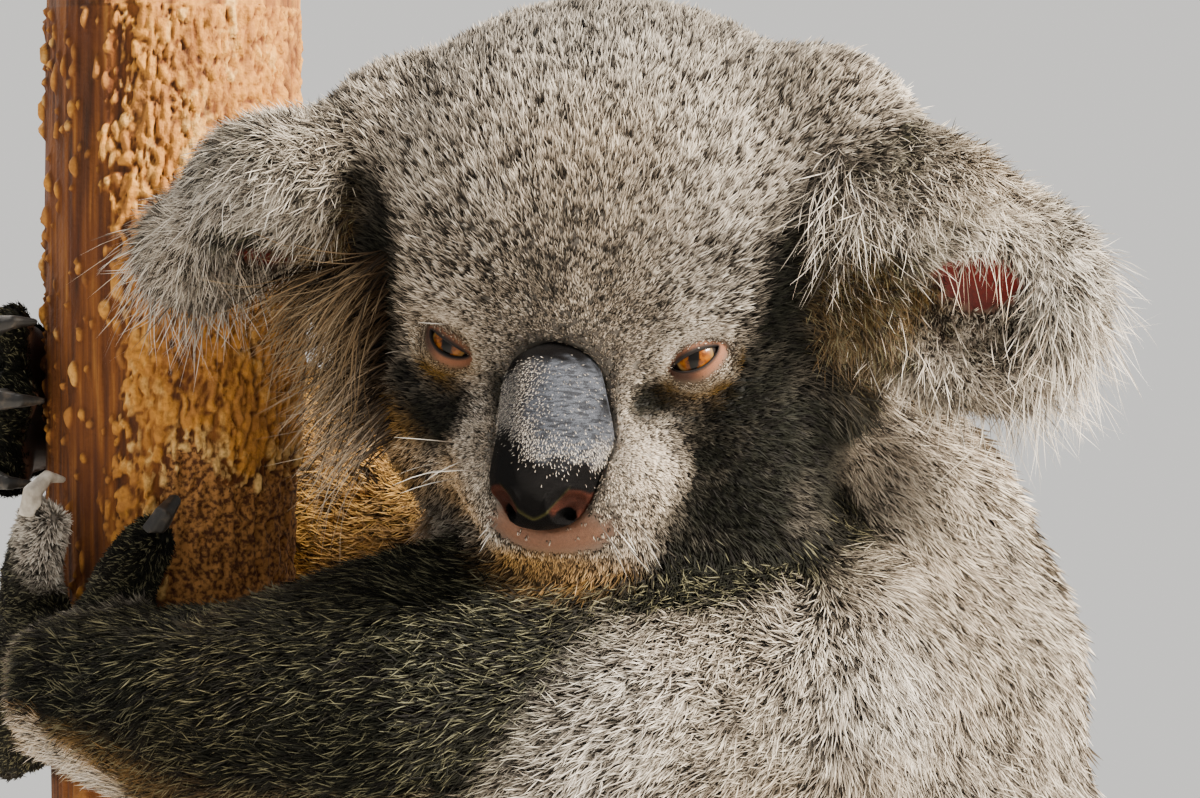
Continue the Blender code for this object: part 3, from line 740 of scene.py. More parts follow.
# %% Where the skin is bare
EAR_RED = {"left": (-0.5, -11, 6.0), "right": (2, -6, -4)}  # mm, out, back and up
PAD_EDGE = (0.0455, 0.0425)  # m from the trunk's axis; the pads touch the bark
face = in_frame(skin_points, HEAD)
lip = on_head * spot(face, (0, -26, -40.5), (24, 18, 9)) * smoothstep(0.0, -0.008, face[:, 1])
cups = np.zeros(len(skin_points))
redness = np.zeros(len(skin_points))
low_red_painted_shade = np.zeros(len(skin_points))
for side in SIDES:
    cups = np.maximum(cups, on_ears * spot_in_ear(skin_points, side, EAR_CUP[side], EAR_CUP_REACH))
    red = spot_in_ear(skin_points, side, EAR_RED[side], (17, 34, 15))
    redness = np.maximum(redness, smoothstep(0.22, 0.36, on_ears * red))
    above_red = in_frame(skin_points, EARS[side])[:, 2] - EAR_RED[side][2] / 1000
    low_red_painted_shade = np.maximum(low_red_painted_shade, on_ears * smoothstep(0.001, -0.007, above_red) * (red > 0))
from_trunk = np.hypot(skin_points[:, 0] - TRUNK_X, skin_points[:, 1])
pads = on_paws * smoothstep(*PAD_EDGE, from_trunk)
bareness = np.clip(0.85 * lip + np.maximum(redness, 0.6 * cups) + pads, 0, 1)
# The ears' hollows, the low part of their red patches and the lip get painted shade; the pads are dark
# of their own.
hollow = np.clip(0.75 * smoothstep(0.2, 0.8, cups) * (1 - redness), 0, 1)
shade = np.maximum(np.maximum(0.85 * pads, hollow), 0.32 * lip)
shade = np.maximum(shade, 0.35 * low_red_painted_shade * redness)
print("bare share of the skin:", bareness.mean().round(3))

# %% Make the skin
skin = new_piece("koala_skin", skin_points, skin_triangles, skin_material)
write_field(skin.data, "marking_with_painted_light_and_shade", marking_with_painted_light_and_shade)
write_field(skin.data, "bare", np.stack([bareness, redness, shade], axis=1))
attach(skin, "root")
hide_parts(*FLESH)
skin_tree = BVHTree.FromPolygons(skin_points.tolist(), skin_triangles.tolist())
print("the skin stands for", len(FLESH), "solids")

# %% [markdown]
# ## The eyes
#
# A koala's eye has an amber iris and an upright slit for a pupil. The eyeball is a sphere whose
# front bulges a little, and its iris is drawn by distance from its own axis.

# %% The eyes' frames
EYE_RADIUS = float(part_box("eye_left")[1].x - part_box("eye_left")[0].x) / 2
EYE_OUT = math.radians(7)
EYE_UP = {"left": math.radians(25), "right": math.radians(18)}
EYE_FRAMES = {}
for side in SIDES:
    EYE_FRAMES[side] = (
        Matrix.Translation(EYES[side])
        @ HEAD_TURN
        @ Matrix.Rotation(SIGN[side] * EYE_OUT, 4, "Z")
        @ Matrix.Rotation(-EYE_UP[side], 4, "X")
    )
print("eye radius in mm:", round(1000 * EYE_RADIUS, 2))

# %% [markdown]
# Beyond the iris the eyeball is nearly black, so the eye keeps a dark edge.

# %% Eye material
IRIS_EDGE = (0.0040, 0.0050)  # metres from the axis
WHITE_EDGE = (0.0050, 0.0054)
SLIT_SHAPE = (1.6, 4.6)  # the pupil's width to its height
SLIT_EDGE = (0.00115, 0.00080)
FIBRE_MM = 1.11
eye_material, tree, shader = new_material(
    "wet_cornea_over_iris", Roughness=0.35, IOR=1.38, Specular_IOR_Level=0.12,
    Coat_Weight=0.22, Coat_Roughness=0.03,
)
place = add_node(tree, "TexCoord", {}, "Object")
flat = add_node(tree, "VectorMath", {0: place, 1: (1, 0, 1)}, 0, operation="MULTIPLY")
off_axis = add_node(tree, "VectorMath", {0: flat}, "Value", operation="LENGTH")
squeeze = {0: place, 1: (1 / SLIT_SHAPE[0], 0, 1 / SLIT_SHAPE[1])}
squeezed = add_node(tree, "VectorMath", squeeze, 0, operation="MULTIPLY")
off_slit = add_node(tree, "VectorMath", {0: squeezed}, "Value", operation="LENGTH")
pattern = {"Vector": place, "Scale": scale_of(FIBRE_MM), "Detail": 3.0}
fibres = add_node(tree, "TexNoise", pattern, 0)
amber = ((0.30, "2A1204"), (0.50, "6A3806"), (0.70, "7E4C0E"))
eye = add_node(tree, "ValToRGB", {0: fibres}, 0, stops=amber)
for value, (low, high), code in (
    (off_axis, IRIS_EDGE, "6E5630"),
    (off_slit, SLIT_EDGE, "050403"),
    (off_axis, WHITE_EDGE, "140E0B"),
):
    share = add_node(tree, "MapRange", {VALUE: value, LOW: low, HIGH: high}, 0, **SOFT)
    eye = add_node(tree, "Mix", {SHARE: share, FIRST: eye, SECOND: colour(code)}, MIXED, **RGBA)
tree.links.new(eye, shader.inputs["Base Color"])
print("nodes in the eye's material:", len(tree.nodes))

# %% Make the eyeballs
CORNEA_RISE = 0.0005
CORNEA_EDGE = (0.001, 0.0062)  # metres from the axis


def cornea_bulge(off):
    """How far the cornea stands proud of the sphere, by distance from the axis."""
    return (1 - smoothstep(*CORNEA_EDGE, off)) * CORNEA_RISE


for side in SIDES:
    forms = bmesh.new()
    bmesh.ops.create_uvsphere(forms, u_segments=48, v_segments=32, radius=EYE_RADIUS)
    ball = bpy.data.meshes.new("eyeball_" + side)
    forms.to_mesh(ball)
    forms.free()
    local = points_of(ball)
    off = np.hypot(local[:, 0], local[:, 2])
    local[:, 1] -= cornea_bulge(off) * (local[:, 1] < 0)
    eyeball = new_piece("eyeball_" + side, local, triangles_of(ball), eye_material)
    eyeball.matrix_world = EYE_FRAMES[side]
    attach(eyeball, "root")
    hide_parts("eye_" + side)
    bpy.data.meshes.remove(ball)
print("points of an eyeball:", len(local))

# %% [markdown]
# ## The eyelids
#
# Each pair of lids is a ring of skin: its inner edge follows the opening and hugs the eyeball,
# and its outer edge melts into the face. It is laid out by the angle round the opening and the
# share of the way out.

# %% The ring's outline
OPENING = {  # in mm: half its width, rise of the upper lid, sag of the lower lid, line of corners
    "left": (6.8, 0.6, 3.4, -0.1),
    "right": (6.2, 0.2, 2.7, -0.1),
}
OPENING_TILT = math.radians(27)
RING_STEPS = 96
RING_ROWS = np.array((0, 0.03, 0.07, 0.12, 0.18, 0.25, 0.32, 0.40, 0.50, 0.60, 0.70, 0.80, 0.90, 1))
RING_REACH = (12.6, 11.0)
RING_ANGLES = np.linspace(0, 2 * math.pi, RING_STEPS, endpoint=False)


def ring_plane(side):
    """The ring seen from the front, as distances across and upwards, row by row."""
    half, rise, sag, line = (value / 1000 for value in OPENING[side])
    p = half * np.cos(RING_ANGLES)
    bow = np.clip(1 - (p / half) ** 2, 0, 1)
    q = line + np.where(np.sin(RING_ANGLES) > 0, rise * bow, -sag * bow**0.75)
    outer = np.stack(
        [np.cos(RING_ANGLES) * RING_REACH[0], np.sin(RING_ANGLES) * RING_REACH[1]], axis=1
    ) / 1000
    rows = RING_ROWS[:, None, None]
    plane = np.stack([p, q], axis=1)[None] * (1 - rows) + outer[None] * rows
    cos, sin = math.cos(OPENING_TILT), SIGN[side] * math.sin(OPENING_TILT)
    across = plane[..., 0] * cos - plane[..., 1] * sin
    upward = plane[..., 0] * sin + plane[..., 1] * cos
    return across, upward


print("the left opening in mm:", 2 * OPENING["left"][0], "by", sum(OPENING["left"][1:3]))

# %% [markdown]
# Seen from the side, the ring leaves the eyeball at the opening, thickens into a soft rim with
# two creases round it, and reaches the face's skin at its outer edge.

# %% How deep the ring lies
LID_THICKNESS = 0.0010
RAY_START, RAY_LENGTH = -0.03, 0.05  # metres along the eye's axis
CREASES = ((0.30, 1.0), (0.50, 0.5))  # share of the way out, strength
CREASE_WIDTH, CREASE_DEPTH = 0.05, 0.0004


def skin_depth(across, upward, place):
    """How far back the face's skin is, found by rays along the eye's axis."""
    forward = place.to_3x3() @ Vector((0, 1, 0))
    hits = np.zeros(across.shape)
    for index in np.ndindex(across.shape):
        start = place @ Vector((across[index], RAY_START, upward[index]))
        hit = skin_tree.ray_cast(start, forward, RAY_LENGTH)
        hits[index] = RAY_START + hit[3] if hit[0] else 0.0
    return hits


def ring_depth(across, upward, share, place):
    """The ring's depth at each point: on the eyeball inside, and on the face outside."""
    thickness = LID_THICKNESS * smoothstep(-0.02, 0.07, share)
    reach = (EYE_RADIUS + 0.0001 + thickness) ** 2 - across**2 - upward**2
    sphere = -np.sqrt(np.maximum(reach, 0.000004)) - cornea_bulge(np.hypot(across, upward))
    hits = skin_depth(across, upward, place)
    depth_in = sphere + (hits - sphere) * smoothstep(0.12, 0.80, share)
    proud = 0.0007 - 0.0018 * smoothstep(0.72, 1.0, share)
    depth_in = np.where(share > 0.05, np.minimum(depth_in, hits - proud), depth_in)
    depth_in = np.where(share > 0.75, hits - proud, depth_in)
    for _ in range(3):
        round_ring = (np.roll(depth_in, 1, 1) + np.roll(depth_in, -1, 1)) / 2
        outward = depth_in.copy()
        outward[1:-1] = (depth_in[2:] + depth_in[:-2]) / 2
        blurred = (round_ring + outward) / 2
        depth_in = np.where(share > 0.10, (depth_in + blurred) / 2, depth_in)
    is_upper = smoothstep(-0.2, 0.4, np.sin(RING_ANGLES))[None]
    crease = sum(strength * bell(share, at, CREASE_WIDTH) for at, strength in CREASES)
    depth_in = depth_in + CREASE_DEPTH * crease * (0.35 + 0.65 * is_upper)
    return np.minimum(depth_in, sphere)


print("the lids' creases are", 1000 * CREASE_DEPTH, "mm deep")

# %% [markdown]
# The rim is bare and almost black, and the lids' lower corner towards the head's right is
# darkened as painted shade. Further out the lids take the face's own markings.

# %% Make the eyelids
LID_SHADE = {"left": (0, 0.08, 0.02), "right": (0, 0.15, 0.08)}  # pale, dark and tan added
lids = {}
for side in SIDES:
    across, upward = ring_plane(side)
    share = np.broadcast_to(RING_ROWS[:, None], across.shape)
    depth_in = ring_depth(across, upward, share, EYE_FRAMES[side])
    local = np.stack([across, depth_in, upward], axis=-1).reshape(-1, 3)
    points = placed(local, EYE_FRAMES[side])
    ring = np.arange(RING_STEPS)
    faces = []
    for row in range(len(RING_ROWS) - 1):
        a = row * RING_STEPS + ring
        b = row * RING_STEPS + (ring + 1) % RING_STEPS
        faces.append(np.stack([a, a + RING_STEPS, b + RING_STEPS, b], axis=1))
    lid = new_piece("eyelids_" + side, points, np.concatenate(faces), skin_material)
    marks = markings_with_painted_light_and_shade(points, np.ones(len(points)), np.zeros(len(points)), 0.0, 0.0, 0.10)
    marks = marks * (0.35, 1, 1) + LID_SHADE[side]
    write_field(lid.data, "marking_with_painted_light_and_shade", marks)
    shares = share.ravel()
    turn_of = np.tile(RING_ANGLES, len(RING_ROWS))
    above = smoothstep(-0.2, 0.4, np.sin(turn_of))
    bare_lid = 1 - 0.95 * smoothstep(0.25 - 0.12 * above, 0.52 - 0.16 * above, shares)
    # The lower corner towards the head's right is darkened: painted shade.
    corner = 0.8 * smoothstep(0.2, -0.6, np.cos(turn_of)) * smoothstep(0.5, -0.3, np.sin(turn_of))
    rim = np.maximum(1 - smoothstep(0.08, 0.20, shares), corner)
    write_field(lid.data, "bare", np.stack([bare_lid, 0.10 * (1 - shares), rim], axis=1))
    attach(lid, "root")
    lids[side] = (points, triangles_of(lid.data), shares + 0.25 * above, marks)
print("lid points:", sum(len(points) for points, *_ in lids.values()))

# %% [markdown]
# ## The nose
#
# The nose is a long leathery pad with two comma-shaped nostrils and a V-shaped ridge between
# them. The solid has its true outline, so it is remeshed finely and then modelled.

# %% A fine surface for the nose
nose_mesh = remeshed("nose_form", welded("nose", 0.0002), 0.0006, 5)
nose_triangles = triangles_of(nose_mesh)
nose_edges = edges_of(nose_mesh)
nose_points = relaxed(points_of(nose_mesh), nose_edges, 30)
print("nose points:", len(nose_points))

# %% [markdown]
# A nostril is a pressed dish with a deeper hole at its lower inner end and a swelling round it.

# %% Press in the nostrils
NOSE_MIDDLE = -2.0  # mm sideways in the head's frame
NOSTRIL_AT = (9.6, -30.6)  # mm sideways from the middle and up
NOSTRIL_SIZE = (5.0, 6.0)
NOSTRIL_TURN = math.radians(24)
NOSTRIL_DEPTH = 0.0055
HOLE_AT, HOLE_SIZE = (-3.2, -2.4), (2.7, 3.6)  # mm in the nostril's own frame
face = in_frame(nose_points, HEAD)
front = smoothstep(-0.016, -0.024, face[:, 1])
pressed = np.zeros(len(face))
inner = np.zeros(len(face))
hole = np.zeros(len(face))
for sign in (1, -1):
    dx = sign * (face[:, 0] * 1000 - NOSE_MIDDLE) - NOSTRIL_AT[0]
    dz = face[:, 2] * 1000 - NOSTRIL_AT[1]
    along = dx * math.cos(NOSTRIL_TURN) + dz * math.sin(NOSTRIL_TURN)
    upward = -dx * math.sin(NOSTRIL_TURN) + dz * math.cos(NOSTRIL_TURN)
    r = np.hypot(along / NOSTRIL_SIZE[0], upward / NOSTRIL_SIZE[1])
    hole_r = np.hypot((along - HOLE_AT[0]) / HOLE_SIZE[0], (upward - HOLE_AT[1]) / HOLE_SIZE[1])
    pressed = np.maximum(pressed, front * 0.42 * (1 - smoothstep(0.40, 1.02, r)))
    hole = np.maximum(hole, front * (1 - smoothstep(0.35, 1.05, hole_r)) * (r < 1.1))
    inner = np.maximum(inner, front * (1 - smoothstep(0.88, 1.05, r)))
    face[:, 1] -= 0.0005 * front * bell(r, 1.16, 0.12)
face[:, 1] += NOSTRIL_DEPTH * np.maximum(pressed, hole)
print("points inside the nostrils:", int((inner > 0.5).sum()))

# %% [markdown]
# A fine ridge runs in a V between the nostrils, and cross wrinkles lie over it on the left.

# %% Raise the ridge and the wrinkles
RIDGE_LOW, RIDGE_RISE, RIDGE_REACH = -0.0335, 0.0090, 0.0097  # the V's foot, height, half width
RIDGE_WIDTH, RIDGE_HEIGHT = 0.0005, 0.0007
WRINKLE_TURNS = 3.4  # radians to a millimetre
WRINKLE_DEPTH = 0.00030
half_way = np.abs(face[:, 0] - NOSE_MIDDLE / 1000) / RIDGE_REACH
above_ridge = face[:, 2] - (RIDGE_LOW + RIDGE_RISE * half_way**1.4)
inner = inner * smoothstep(0.0006, -0.0006, above_ridge)
ridge = bell(above_ridge, 0, RIDGE_WIDTH) * front * smoothstep(1.05, 0.9, half_way)
face[:, 1] -= RIDGE_HEIGHT * ridge * (1 - inner)
wrinkle_side = 0.20 + 0.80 * smoothstep(-0.002, 0.005, face[:, 0])
wrinkle_side = wrinkle_side * smoothstep(0.015, 0.006, np.abs(face[:, 2] + 0.011))
slant = face[:, 2] * 1000 + 0.25 * face[:, 0] * 1000 + 0.35 * lumpy(face, 0.004, 8)
folds = np.sin(slant * WRINKLE_TURNS) * (0.6 + 0.6 * lumpy(face, (0.006, 0.006, 0.0015), 18))
face[:, 1] -= WRINKLE_DEPTH * folds * wrinkle_side * front
nose_points = relaxed(placed(face, HEAD), nose_edges, 1)
print("wrinkles are", round(2 * math.pi / WRINKLE_TURNS, 1), "mm apart")

# %% [markdown]
# The leather is blue-grey, black and moist at the tip and along its upper edge, and flesh red
# inside the nostrils. The black of the upper edge is partly painted shadow of the fur above it,
# and the nostrils' holes are black as painted shade. Flat, wide noise draws the creases that
# cross it.

# %% Nose leather
CREASE_MM = (3.33, 3.33, 0.80)  # long and flat, so they run across the nose
NOSE_BOX_MM = 40  # the mean side of the box over which the next two patterns are laid
MOTTLE_MM, GRAIN_MM = 0.154, 0.0286
nose_material, tree, shader = new_material(
    "nose_leather", Roughness=0.50, IOR=1.45, Specular_IOR_Level=0.10
)
nose_marks = add_node(tree, "Attribute", {}, "Vector", attribute_name="leather")
parts = add_node(tree, "SeparateXYZ", {0: nose_marks}, "all")
cover = add_node(tree, "Attribute", {}, "Vector", attribute_name="cover")
cover_parts = add_node(tree, "SeparateXYZ", {0: cover}, "all")
mottle = add_node(tree, "TexNoise", {"Scale": NOSE_BOX_MM / MOTTLE_MM, "Detail": 5.0}, 0)
stretch = {"Vector": add_node(tree, "TexCoord", {}, "Object"), "Scale": scale_of(*CREASE_MM)}
pattern = {"Vector": add_node(tree, "Mapping", stretch, 0), "Scale": 1.0, "Detail": 5.0}
creases = add_node(tree, "TexNoise", pattern, 0)
two_tones = []
for low, high, deep, light in ((0.32, 0.66, "15171C", "6E7480"), (0.35, 0.62, "100603", "522A1E")):
    share = add_node(tree, "MapRange", {VALUE: mottle, LOW: low, HIGH: high}, 0, **SOFT)
    layer = {SHARE: share, FIRST: colour(deep), SECOND: colour(light)}
    two_tones.append(add_node(tree, "Mix", layer, MIXED, **RGBA))
leather, flesh_red = two_tones
limits = {VALUE: creases, LOW: 0.55, HIGH: 0.38, TO_LOW: 0.0, TO_HIGH: 0.62}
crease_share = add_node(tree, "MapRange", limits, 0, **SOFT)
in_crease = add_node(
    tree, "Math", {0: crease_share, 1: cover_parts["X"]}, 0, operation="MULTIPLY"
)
for share, shade in (
    (in_crease, colour("0E0F12")),
    (cover_parts["Y"], colour("191A1E")),  # skin under the short hairs
    (parts["X"], colour("060506")),  # the black tip, the upper edge with its painted shadow, and the nostrils' holes in painted shade
    (parts["Z"], colour("4E4B28")),  # the ridge, moist and olive
    (parts["Y"], flesh_red),
):
    layer = {SHARE: share, FIRST: leather, SECOND: shade}
    leather = add_node(tree, "Mix", layer, MIXED, **RGBA)
tree.links.new(leather, shader.inputs["Base Color"])

# %% Dullness and relief of the leather
limits = {VALUE: parts["X"], LOW: 0.0, HIGH: 1.0, TO_LOW: 0.40, TO_HIGH: 0.60}
dullness = add_node(tree, "MapRange", limits, 0, **SOFT)
tree.links.new(dullness, shader.inputs["Roughness"])
pattern = {"Scale": NOSE_BOX_MM / GRAIN_MM}
grain = add_node(tree, "TexVoronoi", pattern, 0, feature="DISTANCE_TO_EDGE")
grain_height = add_node(tree, "MapRange", {VALUE: grain, LOW: 0.0, HIGH: 0.10}, 0, **SOFT)
layer = {SHARE: 0.75, FIRST: grain_height, SECOND: creases}
height = add_node(tree, "Mix", layer, MIXED, **RGBA)
relief = {"Height": height, "Strength": 0.8, "Distance": 0.0009}
tree.links.new(add_node(tree, "Bump", relief, 0), shader.inputs["Normal"])
print("nodes in the leather's material:", len(tree.nodes))

# %% Where the leather is black, red and haired
BLACK_SLOPE = -0.34  # the black tip reaches higher on the left than on the right
RIM_MIDDLE, RIM_REACH = (-0.001, -0.004), (0.0156, 0.0140)  # of the black upper edge
face = in_frame(nose_points, HEAD)
wander = 0.0033 * lumpy(face, 0.004, 9)
tip_edge = -0.0150 + BLACK_SLOPE * face[:, 0] + wander
black = smoothstep(0.003, -0.003, face[:, 2] - tip_edge)
# The black upper edge is partly the leather's own and partly painted shadow of the fur above.
rim_up = np.maximum(face[:, 2] - RIM_MIDDLE[1], 0) / RIM_REACH[1]
rim_off = np.hypot((face[:, 0] - RIM_MIDDLE[0]) / RIM_REACH[0], rim_up)
rim_edge = 0.90 - 0.17 * rim_up / np.maximum(rim_off, 0.01)
rim = smoothstep(rim_edge - 0.07, rim_edge + 0.07, rim_off + 0.05 * lumpy(face, 0.002, 10))
rim = rim * smoothstep(-0.014, -0.004, face[:, 2])
black = np.clip(np.maximum(black, rim), 0, 1)
flesh = inner * (1 - smoothstep(0.10, 0.5, hole)) * (1 - 0.35 * smoothstep(0.2, 0.42, pressed))
# The nostrils' holes are coloured black, as painted shade of their depth.
leather_marks = np.stack([np.maximum(black, hole), flesh, 0.6 * ridge * (1 - inner)], axis=1)
at_right = smoothstep(0.001, -0.008, face[:, 0] + 0.004 * lumpy(face, 0.005, 12))
cover_marks = np.stack([1 - at_right, 0.8 * at_right, np.zeros(len(face))], axis=1)
print("black share of the nose:", black.mean().round(2))

# %% Make the nose
nose = new_piece("nose_pad", nose_points, nose_triangles, nose_material)
write_field(nose.data, "leather", leather_marks)
write_field(nose.data, "cover", cover_marks)
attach(nose, "root")
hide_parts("nose")
print("nose pad: triangles", len(nose_triangles))

# %% [markdown]
# ## The lie of the coat
#
# Fur lies back from the nose over the head, down the back and along each limb. Each region gets
# its own direction, and the directions are blurred until they flow into each other.

# %% Directions on the head and body
NOSE_TIP = np.array((0, -0.030, -0.012))  # in the head's frame; the face's hair lies away from it
BODY_WAY = np.array((0.35, 0, -1.0))
head_turn = np.array(HEAD_TURN)[:3, :3]
middle_of = {name: np.array(sum(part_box(name), Vector()) / 2) for name in nodes}
face = in_frame(skin_points, HEAD)
out_of_nose = face - NOSE_TIP
out_of_nose[:, 2] += np.where(face[:, 2] < -0.02, -0.02, 0.0)
lay = out_of_nose @ head_turn.T
lay[is_owner["torso"] | is_owner["neck"]] = BODY_WAY

# %% Directions on the limbs and ears
LIMB_WAYS = {  # from where to where the hair lies, by solid
    "upper_arm": ("upper_arm", "forearm"),
    "forearm": ("upper_arm", "hand"),
    "hand": ("forearm", "hand"),
    "thigh": ("torso", "shank"),
    "shank": ("thigh", "foot"),
    "foot": ("shank", "foot"),
}
for side in SIDES:
    for part, (start, end) in LIMB_WAYS.items():
        first = middle_of.get(f"{start}_{side}", middle_of["torso"])
        way = unit(middle_of[f"{end}_{side}"] - first + 1e-6)
        lay[is_owner[f"{part}_{side}"]] = way + 0.35 * DOWN
    turn = np.array(EARS[side])[:3, :3]
    outward = in_frame(skin_points, EARS[side]) - np.array((-SIGN[side] * 0.085, 0.01, 0.0))
    ear_way = unit(outward) @ turn.T + 0.55 * DOWN
    lay[is_owner["ear_" + side]] = ear_way[is_owner["ear_" + side]]
beside = np.stack([np.sign(face[:, 0]) * 0.8, np.full(len(lay), -0.1), np.full(len(lay), -0.9)], axis=1)
lay = unit(lay) * (1 - ear_root)[:, None] + beside * ear_root[:, None]
lay = relaxed(unit(lay), skin_edges, 25)

# %% [markdown]
# Real fur is never combed that well, so two swirls turn the hairs aside, least on the head.

# %% Swirls in the coat
swirl = lumpy_vectors(skin_points, 0.018, (21, 22, 23))
fine_swirl = lumpy_vectors(skin_points, 0.006, (24, 25, 26))
restless = (0.16 + 0.42 * (1 - on_head) + 0.30 * on_ears)[:, None]
lay = unit(lay) + restless * (swirl + 0.7 * fine_swirl)
lay = unit(lay - normals * np.sum(lay * normals, axis=1, keepdims=True))
print("the lie is set at", len(lay), "points")

# %% [markdown]
# ## How thick the coat grows
#
# Hairs are finest and closest on the face and shoulders. The rest of the body gets fewer,
# broader tufts that cover just as well.

# %% Density and width
FINE_TUFTS, PLAIN_TUFTS, PAW_TUFTS = 0.60, 0.062, 0.9  # tufts for each square millimetre
FACE_EXTRA, EAR_EXTRA = 0.9, 0.40
FINE_WIDTH, PLAIN_WIDTH, PAW_WIDTH, EAR_WIDTH = 0.42, 1.60, 0.50, 0.36  # mm
x, y, z = skin_points.T
fine = smoothstep(0.375, 0.425, z) * smoothstep(0.005, -0.035, y) * (normals[:, 1] < 0.45)
fine = np.maximum(fine, on_head * smoothstep(-0.02, -0.05, y))
fine = np.maximum(fine, smoothstep(0.1, 0.6, far_inner))
fine = relaxed(fine, skin_edges, 4)
short = smoothstep(4.5, 2.0, length_mm) * on_head
density = PLAIN_TUFTS + (FINE_TUFTS - PLAIN_TUFTS) * fine + FACE_EXTRA * short
width_mm = PLAIN_WIDTH + (FINE_WIDTH - PLAIN_WIDTH) * fine
width_mm = np.where(on_paws > 0.5, PAW_WIDTH, width_mm) * (1 - 0.25 * short)
density = density + PAW_TUFTS * on_paws * (1 - pads)
ears_front = on_ears * smoothstep(0.5, 0.0, normals[:, 1])
density = density + EAR_EXTRA * ears_front
width_mm = width_mm + (EAR_WIDTH - width_mm) * ears_front
print("fine share of the coat:", fine.mean().round(2))

# %% Where nothing grows
UNDER_LID = (9.4, 7.8, 16)  # mm round the eye's axis: across, up and along
NOSE_GAP = 0.0012
bald = np.maximum(np.maximum(0.99 * redness, pads), 0.97 * smoothstep(0.15, 0.5, lip))
bald = np.maximum(bald, smoothstep(0.0440, 0.0405, from_trunk))
for side in SIDES:
    near = in_frame(skin_points, EYE_FRAMES[side]) * 1000
    cos, sin = math.cos(OPENING_TILT), SIGN[side] * math.sin(OPENING_TILT)
    p = near[:, 0] * cos + near[:, 2] * sin
    q = -near[:, 0] * sin + near[:, 2] * cos
    under_lid = np.hypot(p / UNDER_LID[0], q / UNDER_LID[1]) < 1
    bald = np.maximum(bald, under_lid & (np.abs(near[:, 1]) < UNDER_LID[2]))
nose_tree = KDTree(len(nose_points))
for order, point in enumerate(nose_points):
    nose_tree.insert(point, order)
nose_tree.balance()
for order in np.where(from_nose < 0.045)[0]:
    if nose_tree.find(skin_points[order])[2] < NOSE_GAP:
        bald[order] = 1
density = density * (1 - bald)
print("bald share of the skin:", bald.mean().round(3))

# %% [markdown]
# ## Growing tufts
#
# A tuft is a handful of hairs, and each hair is a ribbon: one point at the root, a pair for each
# joint, and one point at the tip. Roots are spread by area and density over the skin.

# %% Roots
HAIRS = 5  # to a tuft
rng = np.random.default_rng(11)


def spread_roots(points, triangles, density):
    """Random places on a surface, as triangles and shares of their corners; density per mm2."""
    a, b, c = (points[triangles[:, i]] for i in range(3))
    area = np.linalg.norm(np.cross(b - a, c - a), axis=1) / 2 * 1e6
    wanted = np.cumsum(area * density[triangles].mean(axis=1))
    total = int(wanted[-1])
    marks = (np.arange(total) + rng.random(total)) * wanted[-1] / total
    chosen = np.minimum(np.searchsorted(wanted, marks), len(triangles) - 1)
    u, v = np.sqrt(rng.random(total)), rng.random(total)
    share = np.stack([1 - u, u * (1 - v), u * v], axis=1)
    return triangles[chosen], share


def at_roots(values, corners, share):
    """Values of the surface's points, read at the roots."""
    picked = values[corners]
    if values.ndim == 1:
        return (picked * share).sum(axis=1)
    return (picked * share[:, :, None]).sum(axis=1)

# %% Ribbons
RIBBON_TAPER = (1.0, 0.55)  # width at the first joint and at the last


def ribbons(spine, across, width):
    """Tapering ribbons along spines of points; gives their points, faces and shares of length."""
    count, joints, _ = spine.shape
    middle = joints - 2
    half = across * (width / 2)[:, None]
    taper = np.linspace(*RIBBON_TAPER, middle) if middle > 1 else np.ones(1)
    left = spine[:, 1:-1] - half[:, None] * taper[None, :, None]
    right = spine[:, 1:-1] + half[:, None] * taper[None, :, None]
    rungs = np.stack([left, right], axis=2).reshape(count, 2 * middle, 3)
    points = np.concatenate([spine[:, :1], rungs, spine[:, -1:]], axis=1)
    each = 2 * middle + 2
    faces = [(0, 2, 1)]
    for rung in range(middle - 1):
        a = 1 + 2 * rung
        faces += [(a, a + 1, a + 3), (a, a + 3, a + 2)]
    faces.append((each - 3, each - 2, each - 1))
    starts = (np.arange(count) * each)[:, None, None]
    triangles = (np.array(faces)[None] + starts).reshape(-1, 3)
    steps = np.linspace(0, 1, joints)
    shares = np.concatenate([steps[:1], np.repeat(steps[1:-1], 2), steps[-1:]])
    return points.reshape(-1, 3), triangles, np.tile(shares, count)


one_hair = ribbons(np.zeros((1, 3, 3)), np.zeros((1, 3)), np.zeros(1))
print("triangles to a hair of three joints:", len(one_hair[1]))

# %% [markdown]
# In a tuft every hair leaves from its own place, but all tips are drawn together, which makes
# fur look like fur and not like a brush. Middle joints are pushed outwards, so each hair bows.

# %% Tufts
ROOT_SINK = 0.0003  # metres below the skin, so no root shows
MIDDLE_JOINT = 0.45  # of the way from root to tip


def turned(way, normal, angle):
    """Directions in a surface, turned by an angle about its normal."""
    return way * np.cos(angle)[:, None] + np.cross(normal, way) * np.sin(angle)[:, None]


